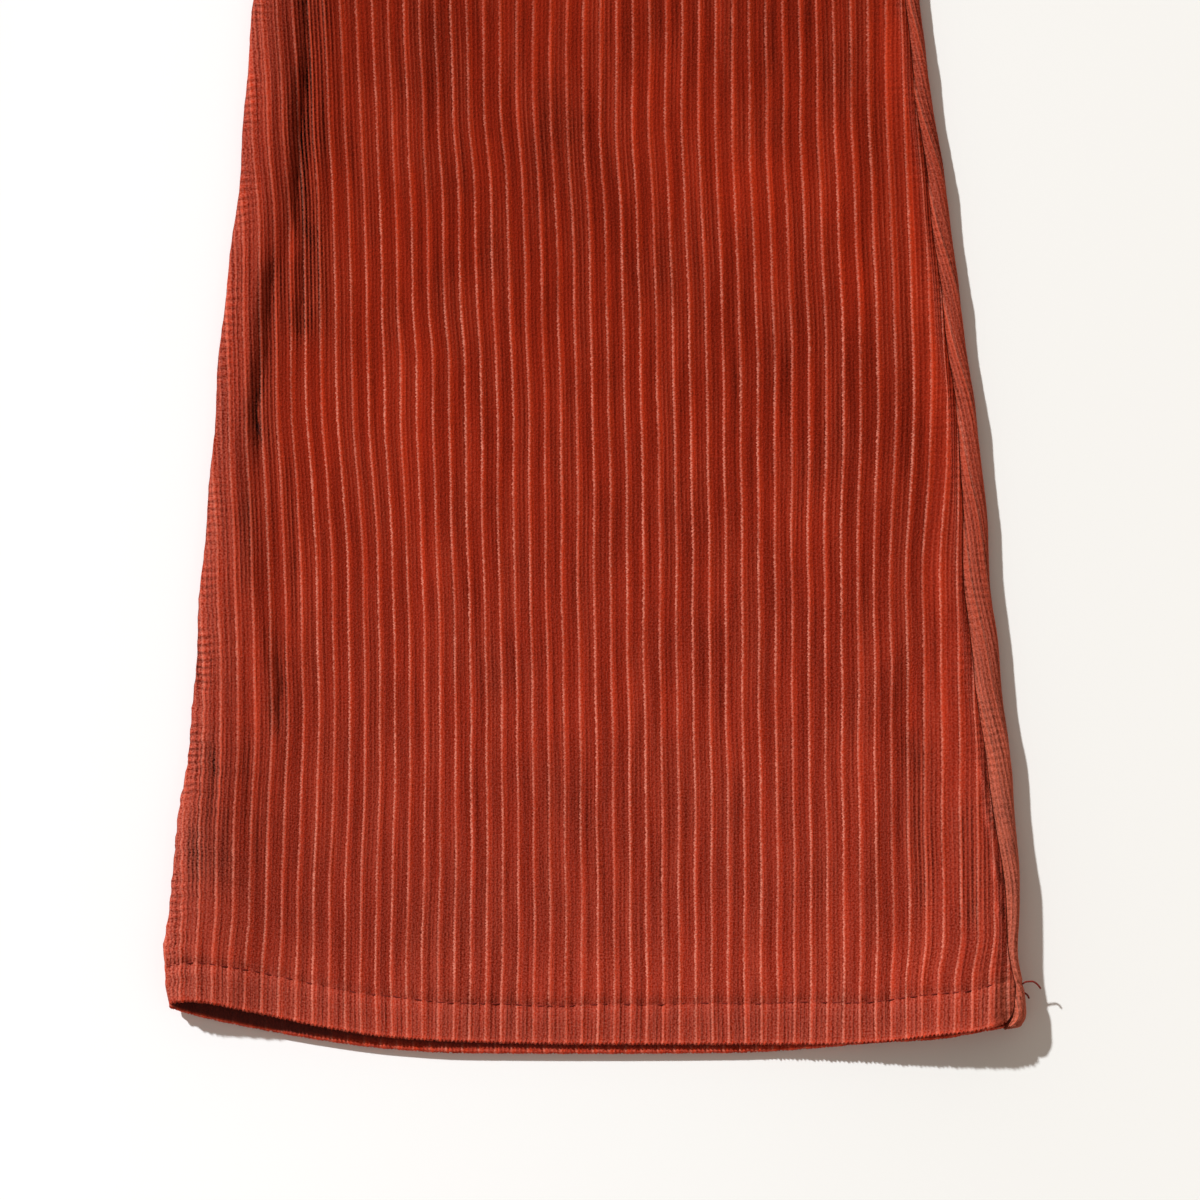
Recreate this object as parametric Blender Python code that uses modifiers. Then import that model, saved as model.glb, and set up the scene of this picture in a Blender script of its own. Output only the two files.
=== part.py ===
# Flared corduroy trousers, laid flat on their back with the front up and the waist towards +Y.
# Sizes are in millimetres up to the point where a wall becomes a mesh.

from collections import namedtuple
from math import acos, ceil, cos, pi, radians, sin, sqrt, tan

import bmesh
import bpy
import numpy as np

MM = 0.001

# Cloth
CLOTH = 1.2  # one layer of corduroy, backing and pile
SEAM_GAP = 0.3  # between two pieces that are sewn together
HEM_DEPTH = 13.0  # turned up inside, so the wall there is two layers
HEM_STEP = 0.1  # run over which the turned-up edge ends
WALE_PITCH = 5.3
WALE_HEIGHT = 0.45
WALE_CREST = 1.3  # how far the crest stands from the groove beside it
LEAST_COLUMN = 0.6  # a wale nearer than this to a seam ends in it

# Layout
LEG_TILT = radians(5.0)  # each leg is laid a little outwards
HEM_CENTRE = 185.0  # from the centre front to the middle of a hem
CROTCH = 788.0
WAIST_SEAM = 1003.0
BAND_DEPTH = 38.0
BAND_PROUD = 0.6
HEM_CURVE_END = 150.0  # level where the rows of the leg are straight again
WAIST_TURN = (800.0, 930.0)  # levels over which the rows turn square to the centre front
WAIST_DIP = {"front": 18.0, "back": 4.0}  # at the centre, below the sides
DIP_START = 850.0
WAIST_OPEN = 8.0  # how far the front of the waist stands off the back
OPEN_START = 830.0

# Edges
INSEAM_BEND = 8.0  # width of the round edge at the inseam
OUTSEAM_SPARE = 1.6  # the round edge at the side seam is this much wider than the back's wrap
BEND_STEPS = 4
FINE_FROM = 70.0  # past this the plain inside follows every wale
COARSE_WALES = 4  # and before it every fourth

# Fly
FLY_FOOT = 838.0  # level where the fly begins
FLY_FOOT_RISE = 12.0  # and the run in which the lap is clear of what it covers
FLY_LAP = 9.0
FLY_FLAT = 1.0  # the slope beside the lap starts here, from the centre front
FLY_SLOPE = 14.0
FLY_RAISE = CLOTH + WALE_HEIGHT + SEAM_GAP + 0.15
BAND_LAP = 24.0
BAND_RAISE = 2 * CLOTH + SEAM_GAP + 0.15
BAND_FLY_PLACES = (-8.0, 1.0, 4.5, 8.0, 11.5, 15.0)  # columns of the band over the fly's slope
BAND_STEPS = 8
BACK_STEPS = 8
KNEE_LEVELS = [384.0, 475.0]  # extra sections where the outline turns most
TURN_SHARES = (0.66, 0.33)  # where the turn at the side seam is divided, above its edge

# Button
BUTTON_X = -10.0  # from the centre front
BUTTON_SIDES = 28
# Radius and height, down its outer side.
BUTTON_PROFILE = [
    (0, 1.9),
    (5.6, 1.9),
    (6.4, 2.9),
    (7.6, 3.1),
    (8.5, 2.2),
    (8.4, 1.0),
    (6.5, 0),
    (0, 0),
]
BUTTON_HOLE = 1.1
BUTTON_HOLES_OUT = 2.4
BUTTON_CUT = 12.0
BUTTON_SPARE = 0.1  # for the band's slight curve under it

# Levels run up the leg from the hem. Inner and outer are the edges, measured from the leg's own
# centre line. The rolls are how high the edges stand, the ramps how far in they fall to rest.
Section = namedtuple(
    "Section", "level inner outer wrap inseam_roll outseam_roll inseam_ramp outseam_ramp"
)
SECTIONS = [
    Section(0, -137.5, 139.8, 4.8, 12.0, 10.5, 95, 48),
    Section(13, -139.6, 139.0, 2.8, 11.6, 10.0, 85, 44),
    Section(30, -138.8, 137.7, 3.6, 10.4, 9.2, 62, 34),
    Section(60, -135.6, 137.0, 6.2, 9.0, 8.2, 38, 24),
    Section(100, -131.3, 133.4, 8.2, 8.0, 7.2, 24, 16),
    Section(144, -127.7, 129.3, 8.7, 7.4, 6.6, 18, 12),
    Section(208, -122.8, 123.1, 6.2, 7.0, 6.0, 15, 10),
    Section(273, -116.4, 114.2, 5.8, 7.0, 5.6, 15, 10),
    Section(338, -110.8, 105.6, 4.5, 6.8, 5.2, 15, 10),
    Section(430, -100.6, 97.0, 4.0, 6.2, 5.0, 14, 10),
    Section(520, -100.6, 101.0, 4.0, 6.0, 5.0, 14, 10),
    Section(620, -107.0, 113.0, 4.0, 5.4, 5.0, 13, 10),
    Section(710, -113.2, 127.0, 4.0, 4.4, 5.0, 12, 10),
    Section(CROTCH, -116.6, 138.0, 4.0, 2.7, 5.0, 10, 10),
    Section(850, -112.0, 137.0, 4.0, 2.7, 5.4, 10, 10),
    Section(900, -107.0, 130.0, 4.0, 2.7, 5.8, 10, 10),
    Section(950, -103.0, 117.0, 4.0, 2.7, 6.2, 10, 10),
    Section(WAIST_SEAM, -98.0, 100.0, 4.0, 2.7, 6.6, 10, 10),
    Section(WAIST_SEAM + BAND_DEPTH + 1, -95.0, 90.5, 4.0, 2.7, 6.8, 10, 10),
]

# How far the hem's edge lies up the leg, at places across it.
HemPoint = namedtuple("HemPoint", "across front back")
HEM_CURVE = [
    HemPoint(-140, 13.0, 13.0),
    HemPoint(-131, 14.2, 9.8),
    HemPoint(-111, 10.7, 5.4),
    HemPoint(-88, 5.8, 1.3),
    HemPoint(-68, 2.6, -1.3),
    HemPoint(-43, 0.9, -2.8),
    HemPoint(0, 0.0, -3.0),
    HemPoint(45, 0.0, -2.7),
    HemPoint(72, 0.0, -1.2),
    HemPoint(90, 0.7, 0.4),
    HemPoint(111, 3.2, 1.6),
    HemPoint(130, 5.6, 4.2),
    HemPoint(140, 6.4, 6.4),
]

# Soft folds of the front: a trough or ridge along the leg, from one end to the other.
Fold = namedtuple("Fold", "start_across start_level end_across end_level width height")
FOLDS = [
    Fold(-93, 345, -96, 235, 7, -0.9),
    Fold(-105, 240, -109, 190, 6, -0.8),
    Fold(-111, 150, -103, 95, 9, 1.6),
    Fold(-60, 330, -52, 210, 12, 0.9),
    Fold(-52, 190, -44, 90, 12, 0.9),
    Fold(46, 330, 62, 240, 16, 1.0),
    Fold(95, 120, 88, 40, 10, 1.2),
    Fold(-62, 500, -74, 400, 15, 1.8),
    Fold(60, 520, 76, 420, 14, 1.7),
    Fold(14, 590, 24, 480, 16, 1.4),
    Fold(-84, 745, -58, 640, 14, 2.0),
    Fold(-48, 790, -30, 700, 15, 1.5),
    Fold(84, 830, 96, 720, 15, 1.5),
]
FOLD_END = 22.0  # length over which a fold dies away

# Edge of the left front past the centre, where it laps over the right front.
FlyPoint = namedtuple("FlyPoint", "level lap")
FLY_EDGE = [FlyPoint(FLY_FOOT, 0), FlyPoint(851, 0), FlyPoint(859, 6), FlyPoint(870, FLY_LAP)]

CORDUROY_COLOUR = (0.305, 0.026, 0.012, 1)
BUTTON_COLOUR = (0.055, 0.017, 0.010, 1)


def ease(t):
    t = min(1.0, max(0.0, t))
    return t * t * (3 - 2 * t)


def from_table(rows, key, column, at):
    """A smooth curve through a table's rows that never overshoots them."""
    keys = np.array([getattr(row, key) for row in rows], float)
    values = np.array([getattr(row, column) for row in rows], float)
    at = min(max(at, keys[0]), keys[-1])
    slopes = np.diff(values) / np.diff(keys)
    before, after = slopes[:-1], slopes[1:]
    turns = np.zeros(len(keys))
    turns[[0, -1]] = slopes[[0, -1]]
    same = before * after > 0
    turns[1:-1][same] = (2 * before * after)[same] / (before + after)[same]
    row = min(int(np.searchsorted(keys, at, side="right")) - 1, len(keys) - 2)
    run = keys[row + 1] - keys[row]
    t = (at - keys[row]) / run
    share = t * t * (3 - 2 * t)
    lean = run * (turns[row] * t * (1 - t) ** 2 - turns[row + 1] * t * t * (1 - t))
    return float(values[row] * (1 - share) + values[row + 1] * share + lean)


def section_at(level):
    values = [from_table(SECTIONS, "level", name, level) for name in Section._fields]
    return Section(*values)


def waist_turn(level):
    return ease((level - WAIST_TURN[0]) / (WAIST_TURN[1] - WAIST_TURN[0]))


def dip_at(level, layer):
    return WAIST_DIP[layer] * ease((level - DIP_START) / (WAIST_SEAM - DIP_START))


def side_x(section):
    """The side of the garment at a level, from the centre front."""
    return HEM_CENTRE + section.outer * cos(LEG_TILT) - section.level * sin(LEG_TILT)


def place(across, level, height, layer):
    """A point of a leg, given across, up and off it, in the garment's own frame."""
    section = section_at(level)
    x = HEM_CENTRE + across * cos(LEG_TILT) - level * sin(LEG_TILT)
    dip = dip_at(level, layer) * max(0.0, 1 - (x / side_x(section)) ** 2)
    curve = from_table(HEM_CURVE, "across", layer, across)
    along = level + curve * (1 - ease(level / HEM_CURVE_END))
    along -= waist_turn(level) * (across * tan(LEG_TILT) + dip / cos(LEG_TILT))
    return (
        HEM_CENTRE + across * cos(LEG_TILT) - along * sin(LEG_TILT),
        across * sin(LEG_TILT) + along * cos(LEG_TILT),
        height,
    )


def placed(points, level, layer):
    return [place(across, level, height, layer) for across, height in points]


def across_at(x, level, layer):
    """The place across the leg that lies x from the centre front, near the centre."""
    turn = waist_turn(level)
    wanted = x - HEM_CENTRE + level * sin(LEG_TILT)
    wanted -= turn * tan(LEG_TILT) * dip_at(level, layer)
    return wanted / (cos(LEG_TILT) + turn * sin(LEG_TILT) * tan(LEG_TILT))


def wall_at(level):
    return CLOTH if level > HEM_DEPTH else 2 * CLOTH


def rest_height(level):
    """Top of the front where it lies on the back: four layers at the hem, two above it."""
    two_layers = 2 * CLOTH + SEAM_GAP
    over_hem = 1 - ease((level - HEM_DEPTH) / (1.5 * HEM_DEPTH))
    return two_layers + 2 * CLOTH * over_hem


def fold_height(across, level):
    total = 0.0
    for fold in FOLDS:
        run = (level - fold.start_level) / (fold.end_level - fold.start_level)
        middle = fold.start_across + run * (fold.end_across - fold.start_across)
        length = abs(fold.end_level - fold.start_level)
        ends = ease(1 + min(0.0, run) * length / FOLD_END)
        ends *= ease(1 - max(0.0, run - 1) * length / FOLD_END)
        total += fold.height * ends * ease(1 - abs(across - middle) / fold.width)
    return total


def outseam_bend(section):
    return section.wrap + OUTSEAM_SPARE


def fly_raise(x, level, full):
    """The left side climbs over the right one beside the fly."""
    return full * ease(1 - (x - FLY_FLAT) / FLY_SLOPE) * ease((level - FLY_FOOT) / FLY_FOOT_RISE)


def top_height(across, section, raised=0.0):
    """Outer face of the front at a place across the leg."""
    level = section.level
    rest = rest_height(level)
    inward = across - section.inner - INSEAM_BEND
    outward = section.outer - outseam_bend(section) - across
    if outward < 0:
        rise = sqrt(max(0.0, 1 - (outward / outseam_bend(section)) ** 2))
        return section.outseam_roll / 2 * (1 + rise)
    height = rest
    height += max(0.0, section.inseam_roll - rest) * ease(1 - inward / section.inseam_ramp)
    height += max(0.0, section.outseam_roll - rest) * ease(1 - outward / section.outseam_ramp)
    x = HEM_CENTRE + across * cos(LEG_TILT) - level * sin(LEG_TILT)
    off = WAIST_OPEN * ease((level - OPEN_START) / (WAIST_SEAM - OPEN_START))
    height += off * max(0.0, 1 - (x / side_x(section)) ** 2)
    if raised:
        height += fly_raise(x, level, raised)
    inside = ease(outward / FOLD_END)
    return max(rest, height + inside * fold_height(across, level))


def clamp(value, low, high):
    if value < low + LEAST_COLUMN:
        return low
    if value > high - LEAST_COLUMN:
        return high
    return value


Column = namedtuple("Column", "across raised inside")


def wale_columns():
    """A groove and a crest for each wale; the plain inside keeps only some of the grooves."""
    reach = ceil(max(section.outer for section in SECTIONS) / WALE_PITCH)
    columns = []
    for wale in range(-reach, reach + 1):
        groove = wale * WALE_PITCH
        columns.append(Column(groove, 0, abs(groove) > FINE_FROM or wale % COARSE_WALES == 0))
        columns.append(Column(groove + WALE_CREST, WALE_HEIGHT, False))
    return columns


class Wall:
    """A closed wall, built face by face between its sections; points that coincide are one."""

    def __init__(self, side):
        self.side = side
        self.mesh = bmesh.new()
        self.points = {}

    def vertex(self, point):
        key = tuple(round(value, 5) for value in point)
        if key not in self.points:
            x, y, z = point
            self.points[key] = self.mesh.verts.new((self.side * x * MM, y * MM, z * MM))
        return self.points[key]

    def face(self, points):
        corners = []
        for point in points:
            corner = self.vertex(point)
            if corner not in corners:
                corners.append(corner)
        if len(corners) > 2:
            self.mesh.faces.new(corners)

    def skin(self, rows):
        for low, high in zip(rows, rows[1:]):
            for left in range(len(low) - 1):
                right = left + 1
                self.face([low[left], low[right], high[right], high[left]])

    def rim(self, outside, inside, matches):
        """Closes the open end of a wall. matches gives each inside point its outside one."""
        for left in range(len(inside) - 1):
            right = left + 1
            edge = outside[matches[left] : matches[right] + 1]
            self.face(edge + [inside[right], inside[left]])

    def close(self, outside, inside, matches):
        self.skin(outside)
        self.skin(inside)
        self.rim(outside[0], inside[0], matches)
        self.rim(outside[-1], inside[-1], matches)
        for low in range(len(outside) - 1):
            high = low + 1
            for end in (0, -1):
                self.face([outside[low][end], outside[high][end], inside[high][end], inside[low][end]])

    def to_object(self, name, material, collection):
        bmesh.ops.recalc_face_normals(self.mesh, faces=self.mesh.faces)
        mesh = bpy.data.meshes.new(name)
        self.mesh.to_mesh(mesh)
        self.mesh.free()
        mesh.materials.append(material)
        obj = bpy.data.objects.new(name, mesh)
        collection.objects.link(obj)
        return obj


def panel_levels(laps):
    """Levels of the sections of a side, with a step where the hem's edge is turned up.
    Its front and back share them, so the curved seam between them is one line."""
    levels = [section.level for section in SECTIONS if section.level <= WAIST_SEAM]
    levels += [HEM_DEPTH + HEM_STEP, CROTCH + SEAM_GAP] + KNEE_LEVELS
    if laps:
        levels += [point.level for point in FLY_EDGE]
    return sorted(levels)


def inseam_edge(section, wall, layer, lap=0.0, raised=0.0):
    """Outside and inside of a panel's inner edge, as (across, height) from its seam inwards.
    Below the crotch both layers bend round to meet; above it they lie flat at the centre."""
    outside = []
    inside = []
    half = section.inseam_roll / 2
    gap = SEAM_GAP / 2
    up = 1 if layer == "front" else -1
    for step in range(BEND_STEPS + 1):
        turn = step / BEND_STEPS * pi / 2
        if section.level <= CROTCH:
            reach = 1 - cos(turn)
            start = section.inner
            rise = gap + (half - gap) * sin(turn)
            inner_rise = gap + (half - wall - gap) * sin(turn)
            outside.append((start + INSEAM_BEND * reach, half + up * rise))
            inside.append((start + wall + (INSEAM_BEND - wall) * reach, half + up * inner_rise))
        else:
            start = across_at(gap - lap, section.level, layer)
            across = start + INSEAM_BEND * step / BEND_STEPS
            height = top_height(across, section, raised) if layer == "front" else 0.0
            outside.append((across, height))
            inside.append((across, height - up * wall))
    return outside, inside


def outseam_edge(section, wall, proud=0.0):
    """Outside and inside of the turn at the side seam, from the seam down to the underside."""
    gap = SEAM_GAP / 2
    bend = outseam_bend(section)
    centre = section.outer - bend
    half = (section.outseam_roll + proud) / 2
    first = acos((bend - section.wrap + gap) / bend)
    turns = [first] + [first * share for share in TURN_SHARES] + [0, -pi / 6, -pi / 3, -pi / 2]
    outside = [(centre + bend * cos(turn), half * (1 + sin(turn))) for turn in turns]
    inside = [
        (centre + (bend - wall) * cos(turn), half + (half - wall) * sin(turn)) for turn in turns
    ]
    across, height = outside[0]
    inside[0] = (across, height - wall)
    return outside, inside


def fly_lap(level, laps):
    if not laps or level < CROTCH:
        return 0.0
    return from_table(FLY_EDGE, "level", "lap", level)


def front_panel(name, side, laps, material, collection):
    columns = wale_columns()
    outside_rows = []
    inside_rows = []
    for level in panel_levels(laps):
        section = section_at(level)
        wall = wall_at(level)
        raised = FLY_RAISE if laps and level > FLY_EDGE[0].level else 0
        outside, inside = inseam_edge(section, wall, "front", fly_lap(level, laps), raised)
        low = outside[-1][0]
        high = section.outer - section.wrap - SEAM_GAP / 2
        matches = list(range(len(outside)))
        for column in columns:
            across = clamp(column.across, low, high)
            height = top_height(across, section, raised)
            if column.inside:
                matches.append(len(outside))
                inside.append((across, height - wall))
            outside.append((across, height + (column.raised if low < across < high else 0)))
        matches.append(len(outside))
        height = top_height(high, section, raised)
        outside.append((high, height))
        inside.append((high, height - wall))
        outside_rows.append(placed(outside, level, "front"))
        inside_rows.append(placed(inside, level, "front"))
    wall_mesh = Wall(side)
    wall_mesh.close(outside_rows, inside_rows, matches)
    return wall_mesh.to_object(name, material, collection)


def back_panel(name, side, laps, material, collection):
    outside_rows = []
    inside_rows = []
    for level in panel_levels(laps):
        section = section_at(level)
        wall = wall_at(level)
        outside, inside = outseam_edge(section, wall)
        edge_outside, edge_inside = inseam_edge(section, wall, "back")
        start = outside[-1][0]
        end = edge_outside[-1][0]
        for step in range(1, BACK_STEPS):
            across = start + (end - start) * step / BACK_STEPS
            outside.append((across, 0.0))
            inside.append((across, wall))
        outside += reversed(edge_outside)
        inside += reversed(edge_inside)
        outside_rows.append(placed(outside, level, "back"))
        inside_rows.append(placed(inside, level, "back"))
    wall_mesh = Wall(side)
    wall_mesh.close(outside_rows, inside_rows, list(range(len(outside_rows[0]))))
    return wall_mesh.to_object(name, material, collection)


def waistband(name, side, laps, material, collection):
    """Half of the band: from the centre front round the side to the centre back."""
    wall = 2 * CLOTH
    outside_rows = []
    inside_rows = []
    for share in (0.0, 0.5, 1.0):
        level = WAIST_SEAM + SEAM_GAP + BAND_DEPTH * share
        section = section_at(level)
        raised = BAND_RAISE if laps else 0
        start = across_at(-BAND_LAP if laps else SEAM_GAP, level, "front")
        crossing = [across_at(x, level, "front") for x in BAND_FLY_PLACES] if laps else []
        high = section.outer - section.wrap - SEAM_GAP / 2
        first = crossing[-1] if laps else start
        run = [first + (high - first) * step / BAND_STEPS for step in range(1, BAND_STEPS + 1)]
        over = [
            (across, top_height(across, section, raised) + BAND_PROUD)
            for across in [start] + crossing + run
        ]
        outside, inside = outseam_edge(section, wall, BAND_PROUD)
        end = across_at(SEAM_GAP / 2, level, "back")
        turn_end = outside[-1][0]
        for step in range(1, BAND_STEPS + 1):
            across = turn_end + (end - turn_end) * step / BAND_STEPS
            outside.append((across, 0.0))
            inside.append((across, wall))
        under = [(across, z - wall) for across, z in over]
        outside_rows.append(placed(over, level, "front") + placed(outside, level, "back"))
        inside_rows.append(placed(under, level, "front") + placed(inside, level, "back"))
    wall_mesh = Wall(side)
    wall_mesh.close(outside_rows, inside_rows, list(range(len(outside_rows[0]))))
    return wall_mesh.to_object(name, material, collection)


def button(name, material, collection):
    """A four-hole button on the left end of the band."""
    level = WAIST_SEAM + SEAM_GAP + BAND_DEPTH / 2
    section = section_at(level)
    across = across_at(BUTTON_X, level, "front")
    band_top = top_height(across, section, BAND_RAISE) + BAND_PROUD
    x, y, z = place(across, level, band_top + SEAM_GAP + BUTTON_SPARE, "front")
    profile = bmesh.new()
    corners = [profile.verts.new((radius * MM, 0, up * MM)) for radius, up in BUTTON_PROFILE]
    for top, bottom in zip(corners, corners[1:]):
        profile.edges.new((top, bottom))
    mesh = bpy.data.meshes.new(name)
    profile.to_mesh(mesh)
    profile.free()
    mesh.materials.append(material)
    disc = bpy.data.objects.new(name, mesh)
    disc.location = (x * MM, y * MM, z * MM)
    collection.objects.link(disc)
    turn = disc.modifiers.new("Turned", "SCREW")
    turn.steps = BUTTON_SIDES
    turn.render_steps = BUTTON_SIDES
    turn.use_merge_vertices = True
    turn.merge_threshold = 0.00001
    holes = bpy.data.collections.new("cutters")
    bpy.context.scene.collection.children.link(holes)
    for number in range(4):
        angle = pi / 4 + number * pi / 2
        bpy.ops.mesh.primitive_cylinder_add(
            vertices=8, radius=BUTTON_HOLE * MM, depth=BUTTON_CUT * MM
        )
        hole = bpy.context.object
        hole.name = f"button_hole_{number + 1}"
        hole.location = (
            (x + BUTTON_HOLES_OUT * cos(angle)) * MM,
            (y + BUTTON_HOLES_OUT * sin(angle)) * MM,
            z * MM,
        )
        hole.hide_render = True
        hole.display_type = "WIRE"
        for home in list(hole.users_collection):
            home.objects.unlink(hole)
        holes.objects.link(hole)
        cut = disc.modifiers.new(hole.name, "BOOLEAN")
        cut.operation = "DIFFERENCE"
        cut.object = hole
    return disc


def finish(name, colour, roughness):
    material = bpy.data.materials.new(name)
    material.use_nodes = True
    surface = material.node_tree.nodes["Principled BSDF"]
    surface.inputs["Base Color"].default_value = colour
    surface.inputs["Roughness"].default_value = roughness
    surface.inputs["Metallic"].default_value = 0.0
    return material


def centre_on_floor(objects):
    """Brings the middle of the garment's length to the origin. Its underside is at z = 0 already."""
    bpy.context.view_layer.update()
    ends = []
    for obj in objects:
        ends += [(obj.matrix_world @ corner.co).y for corner in obj.data.vertices]
    middle = (min(ends) + max(ends)) / 2
    for obj in list(objects) + list(bpy.data.collections["cutters"].objects):
        obj.location.y -= middle


def main():
    for obj in list(bpy.data.objects):
        bpy.data.objects.remove(obj, do_unlink=True)
    trousers = bpy.data.collections.new("corduroy_trousers")
    bpy.context.scene.collection.children.link(trousers)
    made = []
    for hand, side, laps in (("left", 1, True), ("right", -1, False)):
        for make, piece in ((front_panel, "front"), (back_panel, "back"), (waistband, "waistband")):
            material = finish(f"{piece}_{hand}_corduroy", CORDUROY_COLOUR, 0.9)
            made.append(make(f"{piece}_{hand}", side, laps, material, trousers))
    material = finish("button_horn", BUTTON_COLOUR, 0.35)
    made.append(button("button", material, trousers))
    centre_on_floor(made)


main()
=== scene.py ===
# Flared corduroy trousers laid flat on a pale table, seen from straight above one hem.
# Sizes are in millimetres up to the point where a cloth becomes a mesh.

import math
from types import SimpleNamespace

import bmesh
import bpy
import numpy as np
from mathutils import Matrix, Vector


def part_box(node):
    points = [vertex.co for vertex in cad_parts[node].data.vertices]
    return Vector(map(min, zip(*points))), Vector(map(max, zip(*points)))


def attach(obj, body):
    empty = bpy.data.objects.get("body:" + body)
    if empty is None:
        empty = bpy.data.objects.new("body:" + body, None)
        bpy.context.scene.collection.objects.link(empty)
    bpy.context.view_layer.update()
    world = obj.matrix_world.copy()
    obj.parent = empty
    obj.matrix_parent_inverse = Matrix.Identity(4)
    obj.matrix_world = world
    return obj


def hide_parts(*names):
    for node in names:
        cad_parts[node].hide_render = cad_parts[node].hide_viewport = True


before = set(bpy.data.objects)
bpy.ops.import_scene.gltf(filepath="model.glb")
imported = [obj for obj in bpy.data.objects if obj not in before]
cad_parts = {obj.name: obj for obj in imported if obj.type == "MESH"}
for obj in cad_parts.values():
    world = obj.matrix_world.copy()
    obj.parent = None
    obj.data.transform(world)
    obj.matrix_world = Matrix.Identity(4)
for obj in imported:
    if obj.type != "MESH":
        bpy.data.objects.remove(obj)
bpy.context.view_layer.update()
mm = 0.001

# The cut of the trousers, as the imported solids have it
cut = {
    "cloth": 1.2,  # one layer, backing and pile
    "seamGap": 0.3,
    "hemDepth": 13.0,  # turned up inside
    "legTilt": math.radians(5.0),
    "hemCentre": 185.0,  # from the centre front to the middle of a hem
    "crotch": 788.0,
    "waistSeam": 1003.0,
    "bandDepth": 38.0,
    "bandProud": 0.6,
    "hemCurveEnd": 150.0,
    "waistTurn": (800.0, 930.0),
    "waistDip": {"front": 18.0, "back": 4.0},
    "dipStart": 850.0,
    "waistOpen": 8.0,
    "openStart": 830.0,
    "inseamBend": 8.0,
    "outseamSpare": 1.6,
    "flyFoot": 838.0,
    "flyFootRise": 12.0,
    "flyFlat": 1.0,
    "flySlope": 14.0,
    "flyRaise": 2.1,
    "bandLap": 24.0,
    "bandRaise": 2.85,
    "foldEnd": 22.0,
    "hemWall": 1.3,  # the two layers of the front's hem, pressed flat together
    "hemBackWall": 3.1,  # those of the back, which spring a little open
    "hemGap": 0.2,
    "hemPress": 3.2,  # how much sharper the folded edge is than it is thick
    "behindBand": 5.0,  # how far a panel runs up behind the band
    "sideRound": 3.2,  # 2 is an ellipse, more is squarer
}

# Sections of a leg: level, then the columns that are named here
sectionColumns = ("inner", "outer", "wrap", "inseamRoll", "outseamRoll", "inseamRamp", "outseamRamp")
sections = [
    (0, -137.5, 139.8, 4.8, 12.0, 10.5, 95, 48),
    (13, -139.6, 139.0, 2.8, 11.6, 10.0, 85, 44),
    (30, -138.8, 137.7, 3.6, 10.4, 9.2, 62, 34),
    (60, -135.6, 137.0, 6.2, 9.0, 8.2, 38, 24),
    (100, -131.3, 133.4, 8.2, 8.0, 7.2, 24, 16),
    (144, -127.7, 129.3, 8.7, 7.4, 6.6, 18, 12),
    (208, -122.8, 123.1, 6.2, 7.0, 6.0, 15, 10),
    (273, -116.4, 114.2, 5.8, 7.0, 5.6, 15, 10),
    (338, -110.8, 105.6, 4.5, 6.8, 5.2, 15, 10),
    (430, -100.6, 97.0, 4.0, 6.2, 5.0, 14, 10),
    (520, -100.6, 101.0, 4.0, 6.0, 5.0, 14, 10),
    (620, -107.0, 113.0, 4.0, 5.4, 5.0, 13, 10),
    (710, -113.2, 127.0, 4.0, 4.4, 5.0, 12, 10),
    (788, -116.6, 138.0, 4.0, 2.7, 5.0, 10, 10),
    (850, -112.0, 137.0, 4.0, 2.7, 5.4, 10, 10),
    (900, -107.0, 130.0, 4.0, 2.7, 5.8, 10, 10),
    (950, -103.0, 117.0, 4.0, 2.7, 6.2, 10, 10),
    (1003, -98.0, 100.0, 4.0, 2.7, 6.6, 10, 10),
    (1042, -95.0, 90.5, 4.0, 2.7, 6.8, 10, 10),
]

# Where a leg's edges swell a little: level, half height, how far across
edgeSwells = {
    "inner": [(12.4, 2.6, 0.6), (190, 110, -0.8), (34, 8, 0.5)],
    "outer": [(44, 14, 0.8), (20, 10, -1.4)],
}

# The hem's edge: place across the leg, how far the front's and the back's lie up it
hemCurve = [
    (-140, 13.0, 13.0),
    (-131, 14.2, 9.8),
    (-111, 10.7, 5.4),
    (-88, 5.8, 1.3),
    (-68, 2.6, -1.3),
    (-43, 0.9, -2.8),
    (0, 0.0, -3.0),
    (45, 0.0, -2.7),
    (72, 0.0, -1.2),
    (90, 0.7, 0.4),
    (111, 3.2, 1.6),
    (124, 4.7, 3.7),
    (130, 6.5, 4.8),
    (140, 8.4, 6.4),
]
hemColumn = {"front": 1, "back": 2}

flyEdge = [(838, 0), (851, 0), (859, 6), (870, 9)]  # level, lap past the centre front

# One repeat of the corduroy: a steep left face that catches the light, then low ribs
wale = {
    "pitch": 5.3,
    "origin": -0.82,
    "step": 0.6625,  # two columns to each fine rib
    "profile": [0.0, 0.36, 0.30, 0.22, 0.13, 0.15, 0.05, 0.08],
    "height": 0.4,
}

# Broad folds: start across, start level, end across, end level, half width, height
folds = [
    (-93, 345, -96, 235, 7, -0.9),
    (-105, 240, -109, 190, 6, -0.8),
    (-111, 150, -103, 95, 9, 1.6),
    (-60, 330, -52, 210, 12, 0.9),
    (-52, 190, -44, 90, 12, 0.9),
    (46, 330, 62, 240, 16, 1.0),
    (95, 120, 88, 40, 10, 1.2),
    (-62, 500, -74, 400, 15, 1.8),
    (60, 520, 76, 420, 14, 1.7),
    (14, 590, 24, 480, 16, 1.4),
    (-84, 745, -58, 640, 14, 2.0),
    (-48, 790, -30, 700, 15, 1.5),
    (84, 830, 96, 720, 15, 1.5),
    (-20, 860, 30, 800, 13, 1.3),
    (-78, 815, -30, 775, 9, 1.5),
    (-88, 800, -52, 745, 8, 1.2),
    (20, 700, 42, 610, 14, 1.2),
    (-20, 560, -36, 470, 13, 1.4),
    (70, 960, 82, 880, 12, 1.0),
    (0, 980, 8, 900, 15, 1.0),
]

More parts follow.
